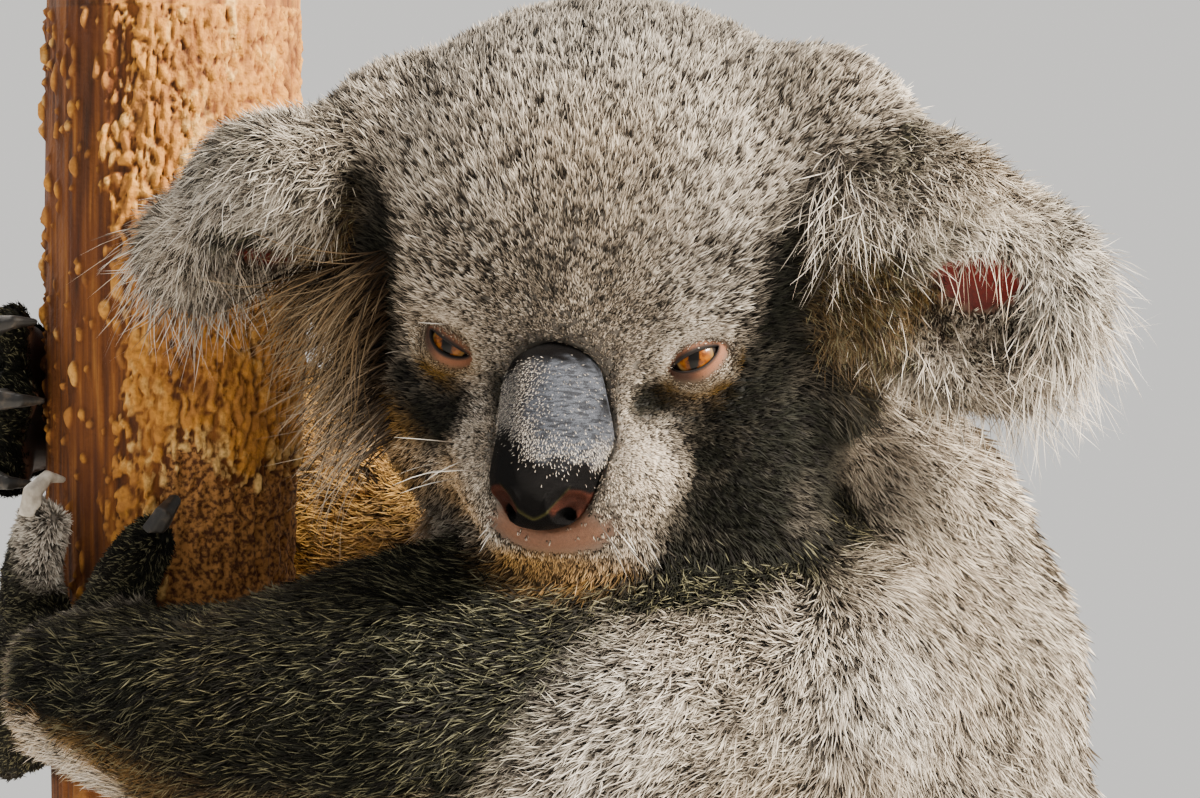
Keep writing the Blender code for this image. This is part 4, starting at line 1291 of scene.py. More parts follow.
def grow_tufts(root, normal, way, length, width, lift, spread, clump, stray):
    """All hairs of all tufts; lengths in metres, one row per tuft."""
    count = len(root)
    side = np.cross(normal, way)
    length = length * rng.uniform(0.72, 1.22, count)
    way = turned(way, normal, rng.normal(0, 0.16, count) * stray)
    spines, acrosses, widths = [], [], []
    for _ in range(HAIRS):
        angle = rng.uniform(0, 2 * math.pi, count)
        out = spread * np.sqrt(rng.random(count))
        offset = (side * np.cos(angle)[:, None] + way * np.sin(angle)[:, None]) * out[:, None]
        own_way = turned(way, normal, rng.normal(0, 0.20, count) * stray)
        own_lift = lift * rng.uniform(0.6, 1.4, count)
        own_length = length * rng.uniform(0.75, 1.15, count)
        rise = np.sin(own_lift)[:, None] * normal
        reach = own_length[:, None] * (np.cos(own_lift)[:, None] * own_way + rise)
        base = root + offset - normal * ROOT_SINK
        tip = root + offset * (1 - clump) + reach
        middle = base * (1 - MIDDLE_JOINT) + tip * MIDDLE_JOINT + normal * (0.10 * own_length)[:, None]
        spines.append(np.stack([base, middle, tip], axis=1))
        roll = rng.normal(0, 0.55, count)
        flat = unit(np.cross(reach, normal))
        acrosses.append(flat * np.cos(roll)[:, None] + normal * np.sin(roll)[:, None])
        widths.append(width * rng.uniform(0.7, 1.25, count))
    spine = np.stack(spines, axis=1).reshape(-1, 3, 3)
    across = np.stack(acrosses, axis=1).reshape(-1, 3)
    return spine, across, np.stack(widths, axis=1).ravel()


print("a hair's middle joint is at", MIDDLE_JOINT, "of its length")

# %% [markdown]
# ## One patch of texture for each tuft
#
# Colours are baked to a texture at export, so each tuft needs a patch of its own. The body is
# unwrapped like a tin can, and the roots are put in rows by height and in order round each row.

# %% The map of the tufts
PATCH = 0.003  # of the map's width, for one tuft


def unwrapped(roots):
    """A place on the map for each root, by its turn round the piece and its height."""
    centre = roots.mean(axis=0)
    spin = np.arctan2(roots[:, 1] - centre[1], roots[:, 0] - centre[0])
    rows = int(math.ceil(math.sqrt(len(roots))))
    by_height = np.argsort(roots[:, 2], kind="stable")
    place = np.zeros((len(roots), 2))
    for row in range(rows):
        members = by_height[row * rows : (row + 1) * rows]
        members = members[np.argsort(spin[members], kind="stable")]
        place[members, 0] = (np.arange(len(members)) + 0.5) / rows
        place[members, 1] = (row + 0.5) / rows
    return place

# %% Build a coat piece
def coat_piece(name, roots, hairs_each, spine, across, width, marks, luck, warmth):
    """A joined mesh of hairs, with what the coat's material reads and its map."""
    points, triangles, shares = ribbons(spine, across, width)
    per_hair = len(points) // len(spine)
    piece = new_piece(name, points, triangles, coat_material, smooth=False)
    hair_marks = np.repeat(np.repeat(marks, hairs_each, axis=0), per_hair, axis=0)
    write_field(piece.data, "marking_with_painted_light_and_shade", hair_marks)
    hair_luck = np.repeat(luck, per_hair)
    hair_warmth = np.repeat(np.repeat(warmth, hairs_each), per_hair)
    write_field(piece.data, "strand", np.stack([shares, hair_luck, hair_warmth], axis=1))
    place = np.repeat(np.repeat(unwrapped(roots), hairs_each, axis=0), per_hair, axis=0)
    lane = np.repeat(np.tile((np.arange(hairs_each) + 0.5) / hairs_each, len(roots)), per_hair)
    rung = np.tile(np.concatenate([[0], np.tile((-1, 1), (per_hair - 2) // 2), [0]]), len(spine))
    u = place[:, 0] + PATCH * (lane - 0.5 + 0.35 * rung / hairs_each)
    v = place[:, 1] + PATCH * (shares - 0.5)
    layer = piece.data.uv_layers.new(name="OFBake")
    corners = triangles.ravel()
    layer.data.foreach_set("uv", np.stack([u, v], axis=1)[corners].astype(np.float32).ravel())
    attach(piece, "root")
    return len(triangles)

# %% [markdown]
# ## The coat of the whole body
#
# A region with too many tufts for one piece is dealt out to several.

# %% What each root knows
EAR_ROOT_EXTRA = 9  # mm by which the hair in front of the ears' roots is longer
corners, share = spread_roots(skin_points, skin_triangles, density)
roots = at_roots(skin_points, corners, share)
root_normals = unit(at_roots(normals, corners, share))
root_lay = at_roots(lay, corners, share)
root_lay = unit(root_lay - root_normals * np.sum(root_lay * root_normals, axis=1, keepdims=True))
root_length = at_roots(length_mm + EAR_ROOT_EXTRA * ear_root, corners, share) / 1000
root_width = at_roots(width_mm, corners, share) / 1000
root_lift = np.radians(at_roots(lift_deg, corners, share))
root_marks = np.clip(at_roots(marking_with_painted_light_and_shade, corners, share), 0, 1)
root_fine = at_roots(fine, corners, share)
root_head = at_roots(on_head, corners, share)
root_ear = at_roots(on_ears, corners, share)
root_group = np.select(
    [root_head > 0.5, root_ear > 0.5, root_fine > 0.5, roots[:, 2] > 0.33], [0, 1, 2, 3], 4
)
print("tufts:", len(roots))

# %% [markdown]
# Luck is dealt to the tuft and to the hair. It is narrowed on the plain coat of the back, where
# broad hairs would show it as spots, and on the fine coat a few hairs are flecks.

# %% Luck
FLECK_CHANCE, FLECK_LUCK = 0.20, 1.20


def deal_luck(chosen):
    """Luck for every hair of the chosen tufts, from 0 to 1, and more for a fleck."""
    head_share, fineness, ear_share = root_head[chosen], root_fine[chosen], root_ear[chosen]
    clumps = lumpy(roots[chosen], 0.0055 - 0.0022 * head_share[:, None], 33)
    clumpy = 0.34 + 0.26 * (1 - head_share) * fineness
    tuft_luck = np.clip(rng.random(len(chosen)) + clumpy * clumps, 0, 1)
    hair_luck = 0.62 * np.repeat(tuft_luck, HAIRS) + 0.38 * rng.random(len(chosen) * HAIRS)
    contrast = np.repeat(0.30 + 0.70 * np.maximum(fineness, head_share), HAIRS)
    contrast = contrast * (1 + 0.5 * np.repeat(ear_share, HAIRS))
    hair_luck = np.clip(0.5 + (hair_luck - 0.5) * contrast, 0, 1)
    fleck_chance = np.repeat(FLECK_CHANCE * fineness * (1 - head_share), HAIRS)
    return np.where(rng.random(len(hair_luck)) < fleck_chance, FLECK_LUCK, hair_luck)

# %% Grow the coat
GROUPS = ("head", "ears", "shoulder", "upper", "lower")
COAT_LIMIT = 195000  # triangles in one piece
FINE_SPREAD, PLAIN_SPREAD = 0.0011, 0.0024  # metres from a tuft's middle to its outer hairs
coat_total = 0
for number, group in enumerate(GROUPS):
    members = np.where(root_group == number)[0]
    members = members[np.argsort(roots[members, 2], kind="stable")]
    count_pieces = max(1, math.ceil(len(members) * HAIRS * 2 / COAT_LIMIT))
    for order, chosen in enumerate(np.array_split(members, count_pieces)):
        head_share = root_head[chosen]
        clump = 0.75 - 0.60 * head_share
        spread = np.where(root_fine[chosen] > 0.5, FINE_SPREAD, PLAIN_SPREAD) * (1 - 0.25 * head_share)
        stray = 1.0 + 1.3 * root_ear[chosen] + 0.5 * (1 - head_share)
        spine, across, width = grow_tufts(
            roots[chosen], root_normals[chosen], root_lay[chosen], root_length[chosen],
            root_width[chosen], root_lift[chosen], spread, clump[:, None], stray,
        )
        hair_luck = deal_luck(chosen)
        warmth = np.clip(0.40 + 0.40 * lumpy(roots[chosen], 0.035, 31), 0, 1)
        coat_total += coat_piece(
            f"coat_{group}_{order + 1}", roots[chosen], HAIRS, spine, across, width,
            root_marks[chosen], hair_luck, warmth,
        )
print("triangles of the coat:", coat_total)
print("tufts by group:", dict(zip(GROUPS, np.bincount(root_group))))

# %% [markdown]
# ## Long hairs
#
# Pale guard hairs stand out round the ears, and a few stray ones break the coat's outline. They
# are single ribbons with more joints, so that they can curve.

# %% Hairs that curve
LONG_JOINTS = 5


def long_hairs(root, normal, way, length, width, droop, curl):
    """Spines of five joints that leave along a way and bend downwards."""
    count = len(root)
    side = unit(np.cross(normal, way))
    sway = rng.normal(0, 1, count)[:, None] * curl
    joints = []
    for step in np.linspace(0, 1, LONG_JOINTS):
        bend = (step * length[:, None]) ** 2
        point = root + way * (step * length)[:, None] + side * sway * bend
        joints.append(point + DOWN * droop * bend)
    across = unit(np.cross(way, normal) + 0.4 * rng.normal(0, 1, (count, 3)))
    return np.stack(joints, axis=1), across, width * np.ones(count)

# %% Roots and ways of the long hairs
RIM_HAIRS, STRAY_HAIRS, HEAD_HAIRS = 0.42, 0.030, 0.012  # to a square millimetre
long_density = RIM_HAIRS * on_ears * (1 - 0.9 * cups) + STRAY_HAIRS * fine * (1 - on_head)
long_density = long_density + HEAD_HAIRS * on_head * (length_mm > 4.5)
long_density = long_density * (1 - bald) * (1 - on_paws)
corners, share = spread_roots(skin_points, skin_triangles, long_density)
roots = at_roots(skin_points, corners, share)
root_normals = unit(at_roots(normals, corners, share))
ways = at_roots(lay, corners, share)
ear_share = at_roots(on_ears, corners, share)
steep = rng.uniform(0.35, 1.0, len(roots))[:, None]
scatter = (0.18 + 0.26 * ear_share)[:, None]
ways = unit(unit(ways) + root_normals * steep + scatter * rng.normal(0, 1, (len(roots), 3)))
print("long hairs:", len(roots))

# %% Lengths and colours of the long hairs
LONG_LENGTH, EAR_SPREAD, RIM_EXTRA = 0.0090, 0.0040, 0.0075  # metres
outer_rim = np.zeros(len(roots))
for side in SIDES:
    reach_out = SIGN[side] * in_frame(roots, EARS[side])[:, 0]
    own_rim = smoothstep(0.012, 0.032, reach_out) * (SIGN[side] * roots[:, 0] > 0)
    outer_rim = np.maximum(outer_rim, own_rim)
lengths = LONG_LENGTH + EAR_SPREAD * ear_share * rng.random(len(roots))
lengths = (lengths + RIM_EXTRA * ear_share * outer_rim) * rng.uniform(0.7, 1.15, len(roots))
spine, across, width = long_hairs(roots, root_normals, ways, lengths, 0.00037, 20.0, 20.0)
marks = at_roots(marking_with_painted_light_and_shade, corners, share)
shaded_hair = smoothstep(0.70, 0.95, marks[:, 1]) * (rng.random(len(roots)) < 0.80)
bleached = 1 - 0.9 * np.maximum(marks[:, 1] * (1 - ear_share), shaded_hair)
marks[:, 0] += (0.35 + 0.40 * ear_share) * bleached
marks[:, 1] *= 1 - 0.70 * ear_share * (1 - shaded_hair)
marks = np.clip(marks, 0, 1)
luck = 0.25 + 0.70 * rng.random(len(roots))
made = coat_piece(
    "coat_long_hairs", roots, 1, spine, across, width, marks, luck, rng.random(len(roots)) * 0.5
)
print("triangles of the long hairs:", made)

# %% [markdown]
# ## The fringe over the ears' openings
#
# From the upper rim of each ear a few pale hairs hang over the hollow. Rays from the front find
# the rim, along half an oval round the hollow.

# %% Hairs that hang over the ears' openings
OVERHANG = {"left": 24, "right": 45}  # hairs
RIM_OVAL = (27, 23)  # mm from the hollow's middle, across and up
fringe = []
for side in SIDES:
    sign = SIGN[side]
    count = OVERHANG[side]
    turn = rng.uniform(0.15, 1.15, count) * math.pi
    x, y, z = EAR_CUP[side]
    aim_x = sign * (x - RIM_OVAL[0] * np.cos(turn))
    aim = np.stack([aim_x, np.full(count, -60.0), z + RIM_OVAL[1] * np.sin(turn)], axis=1)
    starts = placed(aim / 1000, EARS[side])
    forward = EARS[side].to_3x3() @ Vector((0, 1, 0))
    inward = placed(np.tile(np.array(((sign * x, y + 6, z),)) / 1000, (count, 1)), EARS[side])
    for start, middle in zip(starts, inward):
        hit = skin_tree.ray_cast(Vector(start), forward, 0.12)
        if hit[0]:
            fringe.append((np.array(hit[0]), np.array(hit[1]), middle))
root = np.array([entry[0] for entry in fringe])
normal = unit(np.array([entry[1] for entry in fringe]))
towards = unit(np.array([entry[2] for entry in fringe]) - root)
way = unit(towards + 0.55 * normal + np.array((0.0, -0.35, -0.45)) + rng.normal(0, 0.16, root.shape))
length = rng.uniform(0.012, 0.020, len(root))
spine, across, width = long_hairs(root, normal, way, length, 0.00030, 16.0, 12.0)
coat_piece(
    "coat_ear_fringe", root, 1, spine, across, width, np.tile((0.5, 0.0, 0.4), (len(root), 1)),
    rng.uniform(0.5, 0.9, len(root)), rng.random(len(root)) * 0.6,
)
print("fringe hairs:", len(root))

# %% [markdown]
# ## The lock and the ruff
#
# A loose lock hangs where the left ear meets the head, and a ruff sweeps down from the right
# cheek. Rays from the front find the skin where their hairs start.

# %% The lock before the left ear
LOCK_AT = (0.066, 0.588)  # across and up, in metres
LOCK_REACH = (0.009, 0.015)
LOCK_HAIRS = 330
RAY_FRONT, RAY_BACKWARDS = -0.3, Vector((0, 1, 0))


def landed(across_at, up_at):
    """Where a ray from the front meets the skin: the place and the normal, or None."""
    hit = skin_tree.ray_cast(Vector((across_at, RAY_FRONT, up_at)), RAY_BACKWARDS, 0.6)
    return (np.array(hit[0]), np.array(hit[1])) if hit[0] else None


turn = rng.uniform(0, 2 * math.pi, LOCK_HAIRS)
out = np.sqrt(rng.random(LOCK_HAIRS))
found = [
    landed(across_at, up_at)
    for across_at, up_at in zip(
        LOCK_AT[0] + LOCK_REACH[0] * out * np.cos(turn), LOCK_AT[1] + LOCK_REACH[1] * out * np.sin(turn)
    )
]
root = np.array([place for place, _ in filter(None, found)])
normal = unit(np.array([up for _, up in filter(None, found)]))
way = unit(np.array((-0.25, -0.45, -0.80)) + 0.25 * normal + rng.normal(0, 0.40, root.shape))
length = rng.uniform(0.010, 0.019, len(root))
spine, across, width = long_hairs(root, normal, way, length, 0.00035, 18.0, 24.0)
coat_piece(
    "coat_ear_lock", root, 1, spine, across, width, np.tile((0.25, 0.0, 0.0), (len(root), 1)),
    rng.uniform(0.0, 0.9, len(root)), 0.4 * rng.random(len(root)),
)
print("lock hairs:", len(root))

# %% The ruff of the right cheek
RUFF_TRIES = 5200
RUFF_CORNER, RUFF_SIZE = (-0.090, 0.508), (0.034, 0.066)  # across and up, in metres
found = [
    landed(RUFF_CORNER[0] + RUFF_SIZE[0] * across_of, RUFF_CORNER[1] + RUFF_SIZE[1] * up_of)
    for across_of, up_of in rng.random((RUFF_TRIES, 2))
]
ruff = [(place, up) for place, up in filter(None, found) if up[0] < -0.35 and place[1] < -0.03]
root = np.array([place for place, _ in ruff])
normal = unit(np.array([up for _, up in ruff]))
way = unit(np.array((-0.80, 0.12, -0.52)) + 0.30 * normal + rng.normal(0, 0.18, root.shape))
length = rng.uniform(0.012, 0.031, len(root))
spine, across, width = long_hairs(root, normal, way, length, 0.00048, 14.0, 16.0)
# The ruff's upper hairs are darker, as painted shade.
high = smoothstep(0.530, 0.556, root[:, 2] + rng.normal(0, 0.004, len(root)))
ruff_marks_with_painted_shade = np.stack([0.35 - 0.30 * high, 0.12 + 0.55 * high, 0.55 - 0.20 * high], axis=1)
coat_piece(
    "coat_cheek_ruff", root, 1, spine, across, width, ruff_marks_with_painted_shade,
    rng.uniform(0.1, 0.95, len(root)), 0.8 * rng.random(len(root)),
)
print("ruff hairs:", len(root))

# %% [markdown]
# ## Bristles
#
# A few stiff white bristles stand beside the nose, on the chin and over the right eye. Each
# bunch is given by a start, a way and a length in the head's frame.

# %% Bristles
BRISTLES = {  # start and way in the head's frame, mm; length mm; how many
    "left": (((18, -24, -38), (0.62, -0.25, -0.72), 13, 9),),
    "right": (
        ((22, -18, -25), (0.95, -0.25, 0.02), 21, 6),
        ((16, -24, -40), (0.55, -0.30, -0.75), 10, 3),
        ((33, -6, 7), (0.85, -0.45, 0.25), 14, 1),
        ((28, -8, -2), (0.50, -0.60, -0.65), 12, 1),
    ),
}
forward = HEAD_TURN.to_3x3() @ Vector((0, 1, 0))
starts, ways, lengths = [], [], []
for side in SIDES:
    mirror = np.array((SIGN[side], 1, 1))
    for start, way, length, count in BRISTLES[side]:
        for _ in range(count):
            offset = rng.uniform(-5, 5, 3) if count > 3 else rng.uniform(-1.5, 1.5, 3)
            at = (mirror * start + offset)[None] / 1000
            world = placed(at + np.array(((0, -0.03, 0),)), HEAD)[0]
            hit = skin_tree.ray_cast(Vector(world), forward, 0.08)
            if not hit[0]:
                continue
            starts.append(np.array(hit[0]))
            ways.append(head_turn @ (mirror * way + rng.normal(0, 0.10, 3)))
            lengths.append(length / 1000 * rng.uniform(0.75, 1.1))
root, way, length = np.array(starts), unit(np.array(ways)), np.array(lengths)
normal = unit(np.tile(np.array(HEAD_TURN.to_3x3() @ Vector((0, -1, 0.3))), (len(root), 1)))
spine, across, width = long_hairs(root, normal, way, length, 0.00034, 6.0, 6.0)
coat_piece(
    "coat_bristles", root, 1, spine, across, width, np.tile((1.0, 0.0, 0.0), (len(root), 1)),
    rng.uniform(0.75, 1.0, len(root)), np.zeros(len(root)),
)
print("bristles:", len(root))

# %% [markdown]
# ## Fuzz
#
# The eyelids and the nose pad aren't quite bare. They carry hairs a millimetre or two long, too
# short for tufts, so they get single hairs that lie almost flat.

# %% Short single hairs
fuzz = {"root": [], "spine": [], "across": [], "width": [], "marks": []}


def add_fuzz(points, triangles, density, ways, length, width, marks, lift):
    """Single short hairs on a small surface."""
    corners, share = spread_roots(points, triangles, density)
    normal = unit(at_roots(normals_at(points, triangles), corners, share))
    root = at_roots(points, corners, share)
    outward = np.sum(normal * (np.array((0, -1.0, 0))), axis=1)
    normal = normal * np.where(outward < -0.2, -1, 1)[:, None]
    way = at_roots(ways, corners, share) + rng.normal(0, 0.25, root.shape)
    way = unit(way - normal * np.sum(way * normal, axis=1, keepdims=True))
    long = at_roots(length, corners, share) * rng.uniform(0.7, 1.3, len(root))
    tip = root + way * (long * math.cos(lift))[:, None] + normal * (long * math.sin(lift))[:, None]
    middle = (root + tip) / 2 + normal * (0.1 * long)[:, None]
    fuzz["root"].append(root)
    fuzz["spine"].append(np.stack([root - normal * 0.0002, middle, tip], axis=1))
    fuzz["across"].append(unit(np.cross(way, normal)))
    fuzz["width"].append(np.full(len(root), width))
    fuzz["marks"].append(at_roots(marks, corners, share))


for side, (points, triangles, shares, marks) in lids.items():
    ways = unit(in_frame(points, HEAD) - NOSE_TIP) @ head_turn.T
    thickness = 9.0 * smoothstep(0.32, 0.70, shares) * (shares < 1.2)
    length = 0.0009 + 0.0014 * smoothstep(0.3, 1.0, shares)
    add_fuzz(points, triangles, thickness, ways, length, 0.00030, marks, 0.35)
print("fuzz on the lids:", sum(len(root) for root in fuzz["root"]))

# %% Fuzz on the nose
NOSE_FUZZ = (5.0, 0.0010, 0.00015, 0.45)  # hairs to a mm2; length and width in m; lift
face = in_frame(nose_points, HEAD)
haired = (1 - black) * (1 - inner) * smoothstep(-0.012, -0.018, face[:, 1])
low_band = bell(face[:, 2] - tip_edge, 0.001, 0.0035)
haired = haired * np.clip(0.06 + 0.75 * at_right + 0.7 * low_band, 0, 1)
haired = haired + 0.30 * smoothstep(0.4, 0.9, black) * low_band * (face[:, 1] < -0.02)
downwards = np.tile(np.array(HEAD_TURN.to_3x3() @ Vector((-0.15, 0, -1))), (len(face), 1))
add_fuzz(
    nose_points, nose_triangles, NOSE_FUZZ[0] * haired, downwards,
    np.full(len(face), NOSE_FUZZ[1]), NOSE_FUZZ[2], np.tile((1.0, 0.0, 0.0), (len(face), 1)),
    NOSE_FUZZ[3],
)
root, spine, across, width, marks = (np.concatenate(rows) for rows in fuzz.values())
coat_piece(
    "coat_fuzz", root, 1, spine, across, width, np.clip(marks, 0, 1),
    rng.uniform(0.3, 1.0, len(root)), 0.2 * rng.random(len(root)),
)
print("fuzz hairs:", len(root))

# %% [markdown]
# ## The bark
#
# A gum tree's trunk has smooth wood with long fibres on one side and a crust of cream lumps on
# the other. The solid's profile is kept, and its surface is pushed in and out by noise.

# %% The trunk's grid
FRONT_COLUMNS, BACK_COLUMNS = 200, 40  # closer on the side that the face looks along
COARSE_ROW, FINE_ROW = 0.0040, 0.0010  # the finer rows are where the hands and head are near
FINE_LOW, FINE_HIGH = 0.425, 0.645
BARK_RADIUS = 0.0375
low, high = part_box("perch")
perch_points = points_of(nodes["perch"].data)
perch_reach = np.hypot(perch_points[:, 0] - TRUNK_X, perch_points[:, 1])
outer = perch_reach > 0.02
by_height = np.argsort(perch_points[outer, 2], kind="stable")
profile_z = perch_points[outer, 2][by_height]
profile_r = perch_reach[outer][by_height]
angle = np.concatenate([
    np.linspace(-math.pi, 0, FRONT_COLUMNS, endpoint=False),
    np.linspace(0, math.pi, BACK_COLUMNS, endpoint=False),
])
height = np.concatenate([
    np.arange(low.z, FINE_LOW, COARSE_ROW), np.arange(FINE_LOW, FINE_HIGH, FINE_ROW),
    np.arange(FINE_HIGH, high.z - 0.0003, COARSE_ROW), [high.z],
])
BARK_COLUMNS, BARK_ROWS = len(angle), len(height)
angles, heights = (values.ravel() for values in np.meshgrid(angle, height))
ring = np.stack([np.cos(angles), np.sin(angles), np.zeros(len(angles))], axis=1)
on_ring = ring * BARK_RADIUS + np.array((0, 0, 1.0)) * heights[:, None]
turn_to = np.degrees(np.arctan2(ring[:, 1], ring[:, 0]))
print("grid:", BARK_COLUMNS, "columns by", BARK_ROWS, "rows")

# %% [markdown]
# The crust covers the side towards the animal and has worn off where the arms hold the trunk.
# The colour of that bare band is partly painted shade, where the animal shades the trunk.

# %% Where the bark is crusty or worn
crust = smoothstep(-122, -100, turn_to + 9 * lumpy(on_ring, 0.02, 46))
crust = crust * smoothstep(128, 100, turn_to + 9 * lumpy(on_ring, 0.02, 47))
# The band without crust is where the animal shades the trunk; its colour is partly painted shade.
worn = smoothstep(0.530, 0.508, heights + 0.012 * lumpy(on_ring, 0.015, 48))
worn = worn * smoothstep(-104, -84, turn_to + 10 * lumpy(on_ring, 0.02, 49))
worn = worn * smoothstep(0.395, 0.425, heights + 0.012 * lumpy(on_ring, 0.015, 50)) * (turn_to < 60)
crust = crust * (1 - worn)
print("crusty and worn shares:", crust.mean().round(2), worn.mean().round(2))

# %% [markdown]
# Bark crumbles into separate lumps, so the trunk's side is cut into cells, and each holds one
# dome, pushed aside and scaled by its own luck, or none. Three sizes lie over each other.

# %% Lumps
LUMP_CELL = np.array((0.0026, 0.0044))  # across and along the trunk
CRUMB_SIZE, BROAD_SIZE, PIT_SIZE = 0.55, 3.2, 1.1  # to the size of a lump


def lump_field(across, along, size, chance, seed):
    """Rounded lumps on a jittered grid: their height, and a tone that each lump has of its own."""
    wide, long = size * LUMP_CELL
    column, row = np.floor(across / wide).astype(int), np.floor(along / long).astype(int)
    height_here, tone = np.zeros(len(across)), np.zeros(len(across))
    for step in np.ndindex(3, 3):
        i, j = column + step[0] - 1, row + step[1] - 1
        key = np.stack([i, j, np.full(len(i), seed)], axis=1).astype(float)
        luck = [0.5 + 0.5 * lumpy(key + shift, 1.0, seed) for shift in (0.0, 40.0, 80.0, 120.0)]
        off_x = (across / wide - i - 0.15 - 0.7 * luck[0]) / (0.50 + 0.30 * luck[2])
        off_y = (along / long - j - 0.15 - 0.7 * luck[1]) / (0.50 + 0.30 * luck[3])
        dome = np.clip(1 - off_x**2 - off_y**2, 0, 1) ** 0.9 * (0.5 + 0.5 * luck[3])
        dome = dome * ((luck[2] * 7.3) % 1 < chance)
        tone = np.where(dome > height_here, (luck[0] * 5.7) % 1, tone)
        height_here = np.maximum(height_here, dome)
    return height_here, tone


girth = np.radians(turn_to) * BARK_RADIUS + 0.0013 * lumpy(on_ring, 0.0045, 56)
up_along = heights + 0.0020 * lumpy(on_ring, 0.0045, 57)
chance = 0.05 * (1 - worn) + 0.90 * crust
lumps, tone = lump_field(girth, up_along, 1.0, chance, 44)
crumbs, crumb_tone = lump_field(girth, up_along, CRUMB_SIZE, chance, 61)
broad_lumps, _ = lump_field(girth, up_along, BROAD_SIZE, chance, 45)
pits, _ = lump_field(girth, up_along, PIT_SIZE, 0.30 * worn, 58)
print("share of the side under lumps:", (lumps > 0).mean().round(2))

# %% [markdown]
# Where the rows are coarse only the broad lumps can be drawn. Long noise chains the lumps
# together, and long fibres run through the bare wood.

# %% How far the bark rises
LUMP_HEIGHT, FIBRE_HEIGHT, GRIT_HEIGHT, PIT_DEPTH = 0.0024, 0.0005, 0.0003, 0.0016
BARK_SINK = 0.0021  # metres that the wood lies inside the solid, to leave room for the lumps
in_fine_rows = (heights > FINE_LOW) & (heights < FINE_HIGH) & (turn_to < 5)
lumps = np.where(in_fine_rows, lumps, 0.22 * crust + 0.55 * broad_lumps)
crumbs = np.where(in_fine_rows, crumbs, 0)
tone = np.where(lumps > 0.7 * crumbs, tone, crumb_tone)
tone = 0.45 * tone + 0.30 + 0.30 * lumpy(on_ring, (0.006, 0.006, 0.014), 63)
chains = 0.62 + 0.50 * lumpy(on_ring, (0.0045, 0.0045, 0.018), 62)
rough_crust = 0.14 * crust * lumpy(on_ring, 0.0014, 64)
lump_rise = np.clip(np.maximum(lumps, 0.75 * crumbs) * (0.35 + chains) + rough_crust, 0, 1)
fibres = lumpy(on_ring, (0.0016, 0.0016, 0.045), 51) + 0.6 * lumpy(on_ring, (0.003, 0.003, 0.09), 52)
grit = lumpy(on_ring, 0.0018, 53)
swell = 0.0012 * lumpy(on_ring, (0.03, 0.03, 0.07), 54)
rise = LUMP_HEIGHT * lump_rise + FIBRE_HEIGHT * fibres * (1 - 0.6 * crust)
rise = rise + GRIT_HEIGHT * grit * (crust + 2 * worn) - PIT_DEPTH * pits
surface = np.interp(heights, profile_z, profile_r) - BARK_SINK + rise + swell
end = np.minimum(heights - low.z, high.z - heights)
surface = surface - 0.0015 * smoothstep(0.003, 0.0, end)
axis = np.stack([np.full(len(ring), TRUNK_X), np.zeros(len(ring)), heights], axis=1)
points = ring * surface[:, None] + axis
print("bark points:", len(points))

# %% [markdown]
# The two ends are sawn flat and closed by rings that shrink to the middle.

# %% Close the ends
END_RINGS = (0.97, 0.85, 0.6, 0.3, 0.02)  # shares of the way out
columns = np.arange(BARK_COLUMNS)
after = np.roll(columns, -1)
faces = []
for row in range(BARK_ROWS - 1):
    a = row * BARK_COLUMNS
    b = a + BARK_COLUMNS
    faces.append(np.stack([a + columns, a + after, b + after, b + columns], axis=1))
all_points = [points]
used = len(points)
for first, level, flip in ((0, low.z, True), ((BARK_ROWS - 1) * BARK_COLUMNS, high.z, False)):
    edge = first + columns
    for share_out in END_RINGS:
        ring_points = points[first : first + BARK_COLUMNS].copy()
        ring_points[:, 0] = TRUNK_X + (ring_points[:, 0] - TRUNK_X) * share_out
        ring_points[:, 1] *= share_out
        ring_points[:, 2] = level
        all_points.append(ring_points)
        inner_ring = used + columns
        quad = np.stack([edge, np.roll(edge, -1), np.roll(inner_ring, -1), inner_ring], axis=1)
        faces.append(quad[:, ::-1] if flip else quad)
        edge = inner_ring
        used += BARK_COLUMNS
lump_tone = 0.5 * np.clip(np.clip(tone, 0, 0.98) + worn, 0, 1.99)
side_marks = np.stack([lump_rise, lump_tone, np.zeros(len(points))], axis=1)
end_marks = np.tile((0.0, 0.0, 1.0), (used - len(points), 1))
print("points of the two ends:", len(end_marks))

# %% [markdown]
# The bark's colours sit where its shape puts them: streaked brown wood lowest, weathered grey-
# brown where the crust has worn off, partly as painted shade, and cream on the tops of the lumps.

# %% Bark material
STREAK_MM, GRIT_MM, CLOUD_MM = (2.38, 2.38, 45.5), 1.429, 22.2
WOOD = ((0.25, "200E04"), (0.45, "532B0C"), (0.60, "764314"), (0.80, "A06E2E"))
LUMP_TOPS = ((0.0, "6A3F18"), (0.16, "AE7434"), (0.32, "C48634"), (0.5, "E4BA72"))
bark_material, tree, shader = new_material("gum_tree_bark", Roughness=0.88, IOR=1.45)
bark_marks = add_node(tree, "Attribute", {}, "Vector", attribute_name="bark")
parts = add_node(tree, "SeparateXYZ", {0: bark_marks}, "all")
place = add_node(tree, "TexCoord", {}, "Object")
stretch = {"Vector": place, "Scale": scale_of(*STREAK_MM)}
pattern = {"Vector": add_node(tree, "Mapping", stretch, 0), "Scale": 1.0, "Detail": 6.0}
streaks = add_node(tree, "TexNoise", pattern, 0)
pattern = {"Vector": place, "Scale": scale_of(GRIT_MM), "Detail": 5.0}
grains = add_node(tree, "TexNoise", pattern, 0)
pattern = {"Vector": place, "Scale": scale_of(CLOUD_MM), "Detail": 3.0}
clouds = add_node(tree, "TexNoise", pattern, 0)
amount = {}
